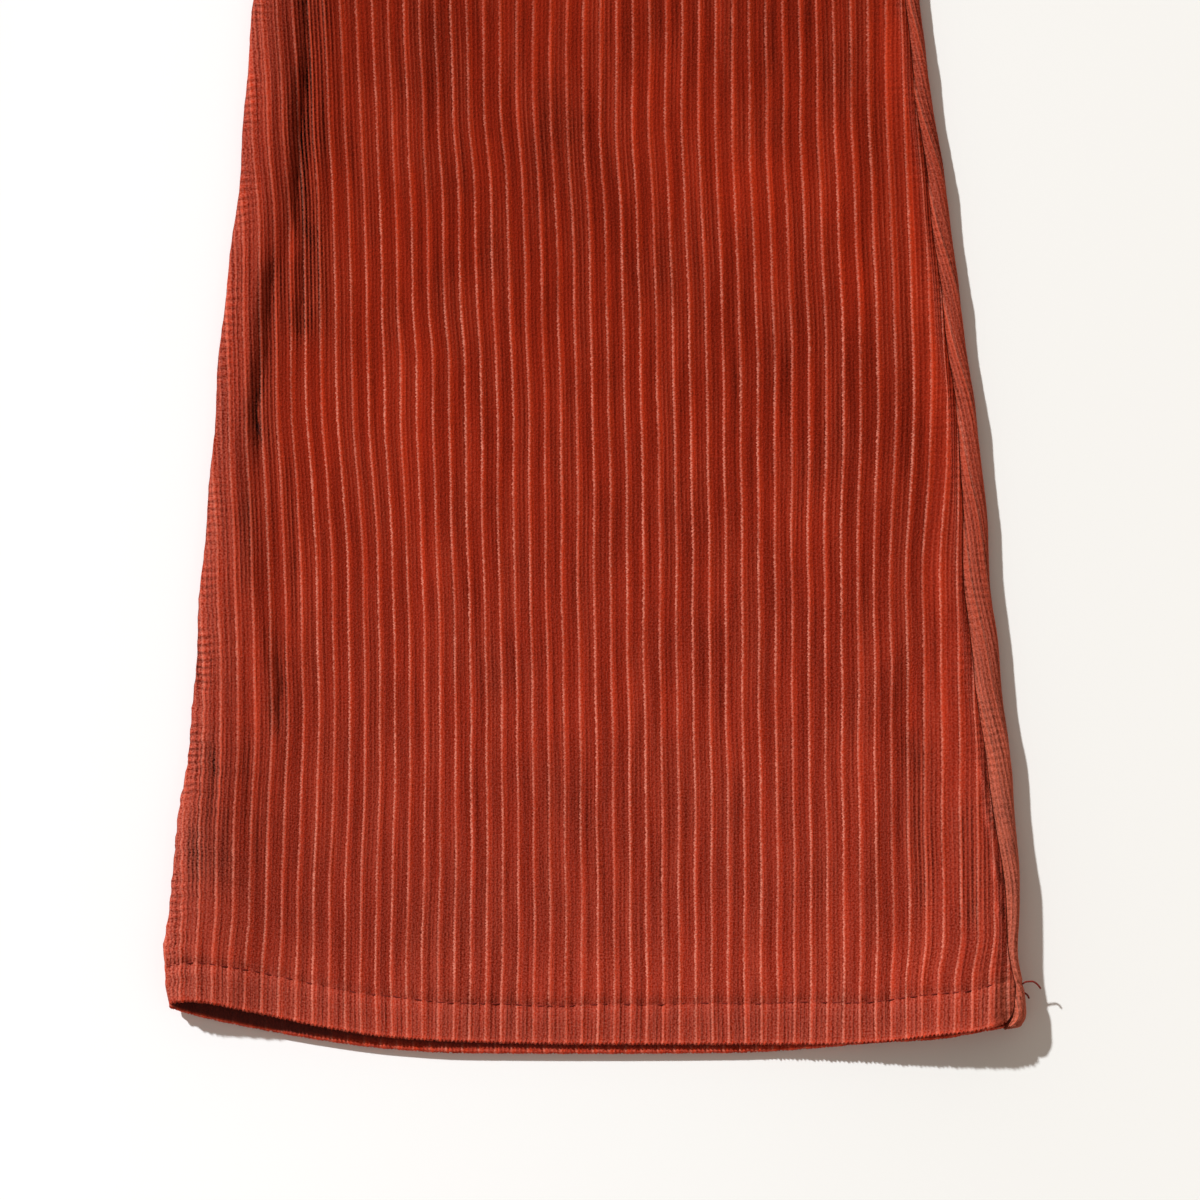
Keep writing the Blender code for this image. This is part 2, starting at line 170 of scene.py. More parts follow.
# How far the front's hem stands off its resting height, or sinks: across, lift
hemStand = [
    (-137.5, 0.0),
    (-128, -0.2),
    (-120, -0.7),
    (-104, -2.4),
    (-90, -1.6),
    (-75, -0.7),
    (-48, 0.3),
    (-20, 0.0),
    (29, 0.1),
    (55, 0.3),
    (80, 1.5),
    (92, 2.7),
    (108, 3.0),
    (120, 2.7),
    (129, 2.8),
    (134.6, 0.0),
    (140, 0.0),
]

# Narrow creases between the wales: half width, depth, and (across, level) down each
creases = [
    (1.6, 1.5, [(-91.0, 352), (-91.0, 336), (-91.6, 318), (-93.0, 302), (-94.0, 290)]),
    (1.6, 1.5, [(-94.2, 306), (-94.2, 292), (-94.0, 272), (-92.6, 258), (-92.8, 244), (-95.4, 231)]),
    (1.5, 1.1, [(-104.0, 252), (-106.4, 228), (-109.4, 206), (-108.4, 196)]),
    (1.5, 0.6, [(-111.4, 174), (-112.0, 161), (-112.6, 148)]),
    (1.6, 0.8, [(-103.0, 134), (-102.4, 125), (-101.8, 99)]),
    (1.5, 0.8, [(-123.2, 92), (-123.0, 80), (-123.2, 64)]),
    (1.5, 0.7, [(-128.0, 58), (-127.8, 50), (-127.2, 42)]),
    (1.4, 0.4, [(-97.6, 190), (-96.8, 160), (-95.6, 138)]),
    (1.4, 0.3, [(-82.4, 330), (-81.0, 312), (-79.6, 286)]),
    (1.5, 0.4, [(-112.6, 96), (-110.2, 72), (-108.6, 54)]),
    (1.8, 0.6, [(104.0, 98), (106.0, 70), (107.5, 44)]),
    (1.8, 0.7, [(120.5, 74), (122.5, 52), (122.8, 36)]),
    (2.0, 0.6, [(-72.0, 440), (-76.0, 400), (-78.0, 372)]),
    (2.2, 0.8, [(66.0, 520), (74.0, 470), (79.0, 430)]),
    (2.2, 0.8, [(-86.0, 620), (-80.0, 560), (-78.0, 520)]),
    (2.4, 0.9, [(-70.0, 800), (-56.0, 760), (-46.0, 700)]),
    (2.2, 0.8, [(96.0, 800), (101.0, 740), (98.0, 690)]),
]

# Small folds pulled at the outseam: across and level at the top, then at the foot
tucks = [
    (124.8, 88.5, 127.2, 78.5),
    (126.2, 76.0, 129.4, 62.0),
    (128.2, 57.5, 131.2, 45.5),
    (130.0, 41.0, 132.2, 33.5),
]

# How far the wales lie off the straight: level, in the middle, more at the inseam, more at the outseam
grain = [
    (0, 1.4, 3.0, 0.5),
    (40, 1.4, 3.2, 0.5),
    (110, 0.9, 5.2, 0.4),
    (155, 0.5, 4.6, 0.5),
    (190, 0.1, 3.5, 1.6),
    (230, -0.7, 3.6, 2.6),
    (270, -1.8, 4.0, 2.1),
    (300, -3.0, 3.3, 2.0),
    (345, -2.9, 0.8, 1.6),
    (460, -1.6, 0.4, 0.8),
    (640, 0.0, 0.0, 0.0),
]

# Where the wales lean further: across, level it starts at, run down, half width, shift
leans = [
    (119.0, 32.0, 16.0, 21.0, -2.4),
    (-116.0, 34.0, 24.0, 16.0, -1.7),
    (-84.0, 205.0, 26.0, 22.0, 1.4),
    (-45.0, 240.0, 20.0, 22.0, 1.0),
    (-30.0, 305.0, 26.0, 20.0, 0.9),
    (106.0, 200.0, 50.0, 14.0, -1.6),
]


def ease(t):
    t = np.clip(t, 0.0, 1.0)
    return t * t * (3 - 2 * t)


def bell(t):
    return np.exp(-np.square(t))


def curveThrough(table, column, at):
    # smooth through the table's rows, and never past them
    keys = np.array([row[0] for row in table], float)
    values = np.array([row[column] for row in table], float)
    at = np.clip(at, keys[0], keys[-1])
    slopes = np.diff(values) / np.diff(keys)
    before, after = slopes[:-1], slopes[1:]
    turns = np.zeros(len(keys))
    turns[[0, -1]] = slopes[[0, -1]]
    same = before * after > 0
    turns[1:-1][same] = (2 * before * after)[same] / (before + after)[same]
    row = np.clip(np.searchsorted(keys, at, side="right") - 1, 0, len(keys) - 2)
    run = keys[row + 1] - keys[row]
    t = (at - keys[row]) / run
    share = t * t * (3 - 2 * t)
    lean = run * (turns[row] * t * (1 - t) ** 2 - turns[row + 1] * t * t * (1 - t))
    return values[row] * (1 - share) + values[row + 1] * share + lean


def sectionAt(level, waves=True):
    level = np.asarray(level, float)
    s = SimpleNamespace(level=level)
    for column, name in enumerate(sectionColumns, 1):
        setattr(s, name, curveThrough(sections, column, level))
    fade = (1 - ease((level - 700) / 80)) * waves  # the crotch and the waist stay straight
    s.inner = s.inner + fade * (edgeWave(level, 0.0) + 0.2 * puckerAt(level))
    s.outer = s.outer - fade * edgeWave(level, 2.1)
    for name, swells in edgeSwells.items():
        for middle, reach, amount in swells:
            setattr(s, name, getattr(s, name) + amount * bell((level - middle) / reach))
    s.inner = s.inner - 1.3 * (1 - ease((level - 16) / 14))  # the hem's corner is pressed out here
    s.outer = s.outer - 1.9 * np.square(np.clip(1 - level / 3.6, 0, 1))  # and rounded here
    s.wall = np.where(level > cut["hemDepth"], cut["cloth"], cut["hemWall"])
    s.underWall = np.where(level > cut["hemDepth"], cut["cloth"], cut["hemBackWall"])
    s.bend = s.wrap + cut["outseamSpare"]
    s.sideHeight = s.outseamRoll * (0.5 + 0.12 * ease(level / 20) * (1 - ease((level - 20) / 90)))
    s.sideX = cut["hemCentre"] + s.outer * math.cos(cut["legTilt"]) - level * math.sin(cut["legTilt"])
    return s


def edgeWave(level, phase):
    # how a long edge wanders
    return 0.28 * np.sin(level / 6.1 + phase) + 0.34 * np.sin(level / 14.3 + 1.7 * phase + 0.8)


def place(across, level, height, layer):
    # a point of a leg, given across, up and off it, in the garment's own frame
    sinTilt, cosTilt, tanTilt = legTilt()
    x = cut["hemCentre"] + across * cosTilt - level * sinTilt
    dip = waistDip(level, layer) * np.maximum(0.0, 1 - np.square(x / sectionAt(level).sideX))
    curve = curveThrough(hemCurve, hemColumn[layer], across)
    along = level + curve * (1 - ease(level / cut["hemCurveEnd"]))
    along = along - waistTurn(level) * (across * tanTilt + dip / cosTilt)
    x = cut["hemCentre"] + across * cosTilt - along * sinTilt
    return np.stack(np.broadcast_arrays(x, across * sinTilt + along * cosTilt, height), axis=-1)


def legTilt():
    return math.sin(cut["legTilt"]), math.cos(cut["legTilt"]), math.tan(cut["legTilt"])


def waistTurn(level):
    # the rows of a leg turn square to the centre front below the waist
    start, end = cut["waistTurn"]
    return ease((level - start) / (end - start))


def waistDip(level, layer):
    # the waist is lower at the centre than at the sides
    return cut["waistDip"][layer] * ease((level - cut["dipStart"]) / (cut["waistSeam"] - cut["dipStart"]))


def acrossAt(x, level, layer):
    # the place across the leg that lies x from the centre front
    sinTilt, cosTilt, tanTilt = legTilt()
    wanted = x - cut["hemCentre"] + level * sinTilt - waistTurn(level) * tanTilt * waistDip(level, layer)
    return wanted / (cosTilt + waistTurn(level) * sinTilt * tanTilt)


def restHeight(level):
    # top of the front where it lies on the back
    overHem = 1 - ease((level - cut["hemDepth"]) / (1.5 * cut["hemDepth"]))
    plain = 2 * cut["cloth"] + cut["seamGap"]
    hem = cut["hemWall"] + cut["hemBackWall"] + cut["hemGap"]
    return plain + (hem - plain) * overHem


def foldHeight(across, level):
    # the broad folds, all together
    total = 0.0
    for startAcross, startLevel, endAcross, endLevel, width, height in folds:
        run = (level - startLevel) / (endLevel - startLevel)
        length = abs(endLevel - startLevel)
        ends = ease(1 + np.minimum(0, run) * length / cut["foldEnd"])
        ends = ends * ease(1 - np.maximum(0, run - 1) * length / cut["foldEnd"])
        middle = startAcross + run * (endAcross - startAcross)
        total = total + height * ends * ease(1 - np.abs(across - middle) / width)
    return total


def creaseDepth(across, level):
    # how deep the creases are, how far the cloth is drawn together about them, and how much painted shade
    # lies in their cores
    total, drawn, creaseShade = 0.0, 0.0, 0.0
    for number, (width, depth, path) in enumerate(creases):
        levels = np.array([point[1] for point in path][::-1], float)
        middle = np.interp(level, levels, [point[0] for point in path][::-1])
        middle = middle + 0.5 * np.sin(level / 5.1 + number) + 0.3 * np.sin(level / 2.3 + 2 * number)
        ends = ease((level - levels[0] + 8) / 14) * ease((levels[-1] + 8 - level) / 14)
        uneven = 0.72 + 0.28 * np.sin(level / 7.9 + 1.7 * number) * np.sin(level / 3.7 + number)
        off = (across - middle) / width
        broken = ease(0.4 + 0.9 * np.sin(level / 11.0 + 1.1 * number) + 0.4 * np.sin(level / 4.1 + number))
        core = bell(off / 0.9) * uneven * (0.25 + 0.60 * broken) + 0.3 * bell(off / 2.2)
        ridges = 0.36 * bell((off + 2.6) / 1.5) + 0.20 * bell((off - 2.8) / 1.2)
        total = total + depth * ends * (core - ridges)
        drawn = drawn + ends * bell(off / 3.2) * depth
        # painted shade in the core of each crease, broken along its length
        creaseShade = creaseShade + ends * broken * bell(off / 1.0) * depth
    return total, drawn, creaseShade


def tuckAt(across, level):
    # the ridge of each small fold, and the groove on its outer side
    ridge, groove = 0.0, 0.0
    for topAcross, topLevel, footAcross, footLevel in tucks:
        run = (topLevel - level) / (topLevel - footLevel)
        off = across - topAcross - run * (footAcross - topAcross)
        ends = np.clip(1 - np.square(2 * run - 1), 0, 1)
        ridge = ridge + ends * bell(off / 0.8)
        groove = groove + ends * bell((off - 1.5) / 0.8)
    return ridge, groove


def puckerAt(level):
    # the sewn seam draws the cloth up in small waves, more so near the hem
    strength = 0.35 + 0.65 * (1 - ease((level - 60) / 120))
    return strength * (
        np.sin(level * 2 * math.pi / 7.6 + 1.6 * np.sin(level / 29))
        + 0.5 * np.sin(level * 2 * math.pi / 4.9 + 2.2 * np.sin(level / 17) + 1)
    )


def waleRelief(fabric):
    # how high the pile stands at a place across the cloth
    heights = wale["profile"] + wale["profile"][:1]
    spots = wale["step"] * np.arange(len(heights))
    return np.interp(np.mod(fabric - wale["origin"], wale["pitch"]), spots, heights)


def grainShift(fabric, level):
    # the cloth was cut a little off its grain, so whole wales drift down the leg
    shift = curveThrough(grain, 1, level)
    shift = shift + curveThrough(grain, 2, level) * ease((-18 - fabric) / 92)
    return shift + curveThrough(grain, 3, level) * ease((fabric - 28) / 70)


def grainAt(across, level):
    # the wale that lies at a place across the leg
    fabric = across
    for _ in range(6):
        fabric = across - grainShift(fabric, level)
    return fabric


def waleShift(fabric, level, fromSeam):
    # how far a wale strays from its own line
    shift = 0.30 * np.sin(level / 31 + fabric / 33) * bell((fabric + 50) / 60)
    shift = shift + 0.12 * np.sin(level / 13.0 + fabric / 19) + 0.10 * np.sin(level / 6.7 - fabric / 9)
    for across, start, run, width, amount in leans:
        shift = shift + amount * bell((fabric - across) / width) * (ease((start - level) / run) - 0.5)
    shift = shift + 0.42 * puckerAt(level + 2.2) * np.exp(-np.maximum(0, fromSeam) / 8)
    return shift


# The hem's row of stitches, and the rows at the fly and the waist
stitching = {
    "hemLevel": 12.4,
    "length": 2.9,
    "space": 0.75,
    "radius": 0.27,
    "late": 0.5,  # how late a stitch may start
    "uneven": (0.82, 1.12),  # shortest and longest, as shares of the length
    "sway": 0.09,
    "least": 0.5,
    "sides": (8, 6),
    "frontStart": 1.5,  # from the inseam to the hem's row, on the front and on the back
    "backStart": 6,
    "backStop": 2,
    "stripRow": (7.0, 0.4),  # from the side's seam to both ends of the row on the wrapped strip
    "flyFromCentre": 33.0,
    "flyTurn": 905.0,  # the row is straight above this and curves to the fly's foot below it
    "flyFootRise": 6,
    "lapFromEdge": 2.4,
    "bandFromSide": 7,
    "lift": {"front": 0.12, "back": -0.3, "strip": 0.0, "fly": 0.3, "band": 0.15},
    "seed": {"front": 11, "back": 12, "strip": 13, "fly": 21, "lap": 22, "band": (31, 32), "bandEnd": 33},
}


def stitchLevel(across):
    # the hem's row isn't quite straight
    rise = 0.3 + 0.6 * ease((across - 60) / 40) + 1.0 * bell((across - 68) / 22)
    rise = rise + 1.1 * bell((across + 113) / 12) + 0.3 * bell((across + 85) / 16)
    return stitching["hemLevel"] + rise + 0.35 * np.sin(across / 17.0) + 0.22 * np.sin(across / 5.3 + 1)


def topHeight(across, s, raised=0.0):
    # outer face of the front, as the solid has it
    rest = restHeight(s.level)
    inward = across - s.inner - cut["inseamBend"]
    outward = s.outer - s.bend - across
    height = rest + np.maximum(0, s.inseamRoll - rest) * ease(1 - inward / s.inseamRamp)
    height = height + np.maximum(0, s.outseamRoll - rest) * ease(1 - outward / s.outseamRamp)
    x = cut["hemCentre"] + across * math.cos(cut["legTilt"]) - s.level * math.sin(cut["legTilt"])
    lift = cut["waistOpen"] * ease((s.level - cut["openStart"]) / (cut["waistSeam"] - cut["openStart"]))
    height = height + lift * np.maximum(0, 1 - np.square(x / s.sideX))
    if raised:
        up = ease(1 - (x - cut["flyFlat"]) / cut["flySlope"])
        height = height + raised * up * ease((s.level - cut["flyFoot"]) / cut["flyFootRise"])
    inside = ease(outward / cut["foldEnd"])
    height = np.maximum(rest, height + inside * foldHeight(across, s.level))
    power = cut["sideRound"]
    rise = np.maximum(0, 1 - np.abs(outward / s.bend) ** power) ** (1 / power)
    return np.where(outward < 0, s.sideHeight + (s.outseamRoll - s.sideHeight) * rise, height)


def softLift(across, low, high, s, hand):
    # soft swells, narrow creases, puckers and the sewn hem, on top of the solid's form
    level = s.level
    fromLow, fromHigh = across - low, high - across
    middle = ease(fromLow / 26) * ease(fromHigh / 24) * (0.12 + 0.88 * ease(level / 18))
    other = 0.0 if hand == "left" else 1.9
    swell = 0.9 + 0.40 * np.sin(level / 38 + across / 57 + 0.4 + other)
    swell = swell + 0.26 * np.sin(level / 21 - across / 41 + 1.9 - other)
    swell = swell + 0.16 * np.sin(level / 61 + across / 13.5 + other)
    lift = middle * swell
    lift = lift - creaseDepth(across, level)[0] * ease(fromLow / 6) * ease(fromHigh / 6)
    nearSeam = np.exp(-np.maximum(0, fromLow - 2) / 7.5) * ease(fromLow / 2.5)
    lift = lift + 0.34 * puckerAt(level) * nearSeam * (1 - ease((level - 720) / 60))
    nearSide = np.exp(-np.maximum(0, fromHigh) / 5.0) * ease(fromHigh / 2.0)
    lift = lift + 0.16 * puckerAt(level * 0.9 + 40) * nearSide
    ridge, groove = tuckAt(across, level)
    lift = lift + (1.1 * ridge - 0.8 * groove) * ease(fromHigh / 1.5)
    fromRow = level - stitchLevel(across)
    tug = 0.75 + 0.25 * np.sin(across * 2 * math.pi / (stitching["length"] + stitching["space"]))
    sewn = -0.55 * tug * bell(fromRow / 1.0)
    sewn = sewn + 0.20 * bell((fromRow - 3.6) / 2.4) + 0.22 * bell((fromRow + 4.6) / 3.0)
    gather = 0.24 * np.sin(across * 2 * math.pi / 6.4 + np.sin(across / 23) * 2)
    sewn = sewn + gather * bell(fromRow / 6.5)
    stand = curveThrough(hemStand, 1, across) * (1 - ease(level / 44))
    return lift + stand + sewn * ease(fromLow / 3) * ease(fromHigh / 3)


# Rows up a panel: level, and how far apart they are from there on
rowSteps = {
    "front": [(2.0, 1.3), (20.0, 2.0), (150.0, 2.4), (345.0, 11.0)],
    "back": [(2.0, 1.6), (20.0, 2.8), (150.0, 3.4), (345.0, 13.0)],
}
hemRound = [0.0, 0.05, 0.17, 0.36, 0.62, 1.1]  # rows round the folded edge
edgeSpots = [0.0, 0.07, 0.28, 0.6, 1.1]  # columns at the round edge, where it is steepest
outseamSpots = 3  # as many of them at the outseam
insideColumns = 40


def rowLevels(layer):
    # every row of a panel, the same for both legs
    top = cut["waistSeam"] + cut["behindBand"]
    coarse = 1.0
    levels = list(hemRound)
    steps = rowSteps[layer] + [(top, 1.0)]
    for (start, step), (end, _) in zip(steps, steps[1:]):
        count = max(1, round((end - start) / (step * coarse)))
        levels += [start + (end - start) * number / count for number in range(count)]
    levels += [top, cut["hemDepth"] - 0.15, cut["hemDepth"] + 0.15, cut["crotch"], cut["crotch"] + 0.3]
    levels += [level for level, _ in flyEdge]
    return np.array(sorted(set(levels)))[:, None]


def fabricColumns(low, high):
    # the same wales run up every row, and end in the seams where these meet them
    reach = math.ceil(160 / wale["pitch"])
    step = wale["step"] * 1
    fabric = wale["origin"] + np.arange(-reach * wale["pitch"], reach * wale["pitch"], step)
    fabric = np.clip(fabric[None, :], low, high)
    fabric = np.where(fabric - low < 0.1, low, fabric)
    fabric = np.where(high - fabric < 0.1, high, fabric)
    near = [low + spot for spot in edgeSpots] + [high - spot for spot in edgeSpots[:outseamSpots]]
    return np.sort(np.concatenate([fabric] + near, axis=1), axis=1)


def sewnEdge(distance):
    # the cloth dives into a seam beside it
    return -0.85 * bell(distance / 1.15) + 0.10 * bell((distance - 3.2) / 1.6)


def added(name, data):
    # an object in the scene for a mesh, a light or a camera
    obj = bpy.data.objects.new(name, data)
    bpy.context.scene.collection.objects.link(obj)
    return obj


def smoothInto(mesh, bm):
    for face in bm.faces:
        face.smooth = True
    bm.to_mesh(mesh)
    bm.free()


def openLoops(bm):
    # the open edges of a cloth, each end's edges together
    bm.edges.index_update()
    left = {edge for edge in bm.edges if edge.is_boundary}
    loops = []
    while left:
        loop, fresh = [], [min(left, key=lambda edge: edge.index)]
        left.remove(fresh[0])
        while fresh:
            edge = fresh.pop()
            loop.append(edge)
            beside = {other for vert in edge.verts for other in vert.link_edges} & left
            left -= beside
            fresh += sorted(beside, key=lambda other: other.index)
        loops.append(sorted(loop, key=lambda edge: edge.index))
    return loops


def clothMesh(name, side, turned, rows, fabric, facts):
    # a grid laid on its rows; where the grid's ends meet they are merged, so the cloth is closed
    bm = bmesh.new()
    bmesh.ops.create_grid(bm, x_segments=rows.shape[1] - 1, y_segments=rows.shape[0] - 1, size=1.0)
    mesh = bpy.data.meshes.new(name)
    bm.to_mesh(mesh)
    bm.free()
    points = rows.reshape(-1, 3) * mm
    points[:, 0] *= side
    points[:, 1] -= cut["middle"] * mm
    mesh.vertices.foreach_set("co", points.astype(np.float32).ravel())
    for key, values in dict(facts, across=fabric[..., 0] * mm, along=fabric[..., 1] * mm).items():
        layer = mesh.attributes.new(key, "FLOAT", "POINT")
        layer.data.foreach_set("value", np.ascontiguousarray(values, np.float32).ravel())
    bm = bmesh.new()
    bm.from_mesh(mesh)
    bmesh.ops.remove_doubles(bm, verts=bm.verts, dist=2e-6)
    if turned != (side < 0):
        bmesh.ops.reverse_faces(bm, faces=bm.faces)
    closeEnds(bm)
    smoothInto(mesh, bm)
    writeUv(mesh)
    for key in ("across", "along", "hidden"):
        mesh.attributes.remove(mesh.attributes[key])
    return added(name, mesh)


def closeEnds(bm):
    # at each end the shown face is joined to the hidden one
    hidden = bm.verts.layers.float["hidden"]
    for loop in openLoops(bm):
        facing = [edge for edge in loop if edge.verts[0][hidden] == edge.verts[1][hidden]]
        bmesh.ops.bridge_loops(bm, edges=facing)


def writeUv(mesh):
    # the finish reads the cloth's own measures, across and along, from this map
    measures = np.zeros((2, len(mesh.vertices)), np.float32)
    for row, key in zip(measures, ("across", "along")):
        mesh.attributes[key].data.foreach_get("value", row)
    corners = np.zeros(len(mesh.loops), np.int32)
    mesh.loops.foreach_get("vertex_index", corners)
    layer = mesh.uv_layers.new(name="cloth")
    layer.data.foreach_set("uv", measures[:, corners].T.ravel())


def foldShare(fromEdge):
    # how far the faces of a double wall stand apart beside a folded edge
    return np.sqrt(1 - np.square(1 - np.clip((fromEdge + 0.05) / cut["cloth"], 0, 1)))


def joinedFaces(outer, inner, levels):
    # both faces of a wall, drawn together at its hem
    middle = (outer + inner) / 2
    full = foldShare(levels * cut["hemPress"])[..., None]
    return middle + (outer - middle) * full, middle + (inner - middle) * full


def insideSpots(low, high):
    # the inner face has fewer columns, and runs back from the outseam
    return low + (high - low) * np.linspace(0, 1, insideColumns)[::-1]


def closedPanel(layer, hand, side, outer, inner, fabric, insideFabric, levels, low, high):
    # one closed sheet of both faces; fabric has two parts, the wale and the place across the leg
    outerPoints, insidePoints = [place(face[..., 0], levels, face[..., 1], layer) for face in (outer, inner)]
    outerPoints = outerPoints + hemTeeth(fabric[0], levels)[..., None] * downLeg()
    rows = np.concatenate([outerPoints, insidePoints, outerPoints[:, :1]], axis=1)
    column, across = [np.concatenate([f, i, f[:, :1]], axis=1) for f, i in zip(fabric, insideFabric)]
    hidden = np.zeros(column.shape)
    hidden[:, fabric[0].shape[1] : -1] = 1.0
    inside = hidden * (levels > cut["hemDepth"])  # the turned-up hem shows its pile inside
    # inside a hem the pile is painted over with the dark inside colour from a little above the folded edge:
    # painted shade in the hem's mouth, starting higher on the back except near the inseam
    start = 0.3 + (1.3 * ease((across + 96) / 20) if layer == "back" else 0.2)
    inside = np.maximum(inside, 0.92 * hidden * ease((levels - start) / 0.9))
    facts = dict(clothFacts(across, levels, low, high, layer), inside=inside, hidden=hidden)
    # each fine rib's end at the hem painted lighter and paler and the gaps between darker: painted highlights
    # and shade
    beads = finerRib(column) * (1 - ease((levels - 0.6) / 2.0))
    facts["tone"] = facts["tone"] + 0.42 * beads
    facts["bloom"] = np.clip(facts["bloom"] + 0.45 * beads, 0, 1)
    uv = np.stack([column, np.broadcast_to(levels, column.shape)], axis=-1)
    return clothMesh(f"{hand}_{layer}", side, layer == "back", rows, uv, facts)


def frontWall(across, low, high, s, laps, hand):
    # the front's outer face and its inner face: across and height of each
    raised = cut["flyRaise"] if laps else 0.0
    lean = np.clip(1 - (across - s.inner) / cut["inseamBend"], 0, 1)
    rise = np.sqrt(1 - lean * lean)
    half = s.inseamRoll / 2
    bent = (lean > 0) & (s.level <= cut["crotch"])
    lift = softLift(across, low, high, s, hand)
    flat = topHeight(across, s, raised)
    height = np.where(bent, half * (1 + rise), flat) + lift
    height = np.maximum(height, np.where(bent, 0, restHeight(s.level)))
    innerAcross = np.where(bent, s.inner + s.wall + (cut["inseamBend"] - s.wall) * (1 - lean), across)
    innerHeight = np.where(bent, half + (half - s.wall) * rise + lift, height - s.wall)
    return across, height, innerAcross, innerHeight


def frontPanel(hand, side, laps):
    levels = rowLevels("front")
    s = sectionAt(levels)
    lap = curveThrough(flyEdge, 1, levels) * (levels > cut["crotch"]) if laps else 0 * levels
    low = np.where(levels <= cut["crotch"], s.inner, acrossAt(-lap, levels, "front"))
    high = s.outer - s.wrap
    first, last = grainAt(low, levels), grainAt(high, levels)
    fabric = fabricColumns(first, last)
    window = ease((fabric - first) / 3.5) * ease((last - fabric) / 5)
    across = fabric + grainShift(fabric, levels) + window * waleShift(fabric, levels, fabric - first)
    across = np.clip(across, low, high)
    outAcross, outHeight, inAcross, inHeight = frontWall(across, low, high, s, laps, hand)
    slope = frontSlope(across, low, high, s, laps, hand)
    size = np.sqrt(1 + slope * slope)
    relief = frontRelief(fabric, across, low, high, lap, levels)
    outer = np.stack([outAcross - slope / size * relief, outHeight + relief / size], axis=-1)
    outer, _ = joinedFaces(outer, np.stack([inAcross, inHeight], axis=-1), levels)
    spots = insideSpots(low, high)
    over, up, under, down = frontWall(spots, low, high, s, laps, hand)
    _, inside = joinedFaces(np.stack([over, up], -1), np.stack([under, down], -1), levels)
    cloth = (fabric, across), (grainAt(spots, levels), spots)
    return closedPanel("front", hand, side, outer, inside, *cloth, levels, low, high)


def frontSlope(across, low, high, s, laps, hand):
    # how steeply the front's face rises along a row; it stands upright at the inseam
    step, upright = 0.08, 1e4
    before = frontWall(np.maximum(across - step, low), low, high, s, laps, hand)
    after = frontWall(np.minimum(across + step, high), low, high, s, laps, hand)
    slope = (after[1] - before[1]) / np.maximum(after[0] - before[0], 1e-6)
    return np.where((across - low < 0.02) & (s.level <= cut["crotch"]), upright, slope)


def frontRelief(fabric, across, low, high, lap, levels):
    # the pile, with sharper ribs at the hem and in the creases, and the dive into each seam
    _, drawn, _ = creaseDepth(across, levels)
    sharper = 0.12 * (1 - ease(levels / 5)) + 0.20 * np.clip(drawn, 0, 1)
    relief = waleRelief(fabric) + finerRib(fabric) * sharper
    inseam = sewnEdge(across - low)
    relief = relief * ease((across - low) / 1.2) + np.where(lap > 1, 0.35 * inseam, inseam)
    return relief + 0.6 * sewnEdge(high - across)


def downLeg():
    # the direction from the waist to the hem
    return np.array([math.sin(cut["legTilt"]), -math.cos(cut["legTilt"]), 0.0])


def finerRib(fabric):
    # 1 on a fine rib, -1 between two
    return np.cos(np.pi * (fabric - wale["origin"]) / wale["step"])


def hemTeeth(fabric, level):
    # each fine rib ends in a small tooth at the folded edge
    return (0.46 * finerRib(fabric) + 0.25 * (waleRelief(fabric) - 0.16)) * (1 - ease(level / 1.0))


# Where the cloth is lighter or darker: across, level, half width, half length, amount
tonePatches = [
    (4, 330, 34, 22, 0.12),
    (18, 332, 8, 10, -0.20),
    (34, 325, 9, 16, -0.18),
    (99, 320, 6, 24, 0.30),
    (-47, 315, 9, 30, -0.18),
    (-111, 310, 8, 40, 0.34),
    (-14, 297, 9, 22, -0.20),
    (28, 296, 14, 18, 0.20),
    (58, 276, 24, 12, 0.32),
    (75, 262, 12, 24, 0.22),
    (-60, 330, 20, 30, -0.10),
    (0, 262, 30, 22, -0.10),
    (48, 230, 24, 22, -0.14),
    (91, 204, 16, 28, -0.50),
    (26, 194, 16, 18, 0.20),
    (-30, 202, 10, 22, -0.18),
    (-76, 218, 14, 26, 0.18),
    (66, 172, 22, 14, 0.10),
    (-109, 134, 10, 24, 0.34),
    (-30, 121, 9, 10, -0.24),
    (10, 112, 36, 11, 0.14),
    (44, 98, 16, 12, 0.24),
    (-12, 84, 12, 14, -0.34),
    (-111, 72, 9, 12, 0.26),
    (-128, 56, 7, 10, -0.30),
    (-66, 128, 26, 20, 0.10),
    (84, 36, 36, 14, 0.12),
    (20, 250, 62, 18, -0.14),
    (20, 48, 60, 16, -0.08),
    (107, 170, 12, 16, -0.24),
    (-6, 290, 14, 16, -0.20),
    (-22, 113, 12, 14, -0.18),
    (-6, 72, 12, 13, -0.16),
    (-87, 235, 9, 18, -0.18),
    (-120, 48, 9, 11, -0.44),
    (-119, 97, 9, 13, 0.18),
    (-103, 291, 9, 22, 0.30),
    (-90, 250, 7, 50, -0.16),
    (-105, 100, 8, 26, 0.16),
    (87, 240, 8, 18, 0.18),
    (104, 205, 9, 20, -0.18),
    (56, 215, 14, 14, -0.18),
    (-40, 38, 16, 12, -0.18),
    (122, 82, 8, 14, -0.18),
    (106, 102, 8, 12, 0.14),
    (20, 6, 44, 7, 0.14),
    (10, 440, 40, 60, 0.16),
    (-30, 600, 36, 70, -0.12),
    (40, 720, 40, 80, 0.14),
    (-40, 860, 50, 60, 0.10),
]


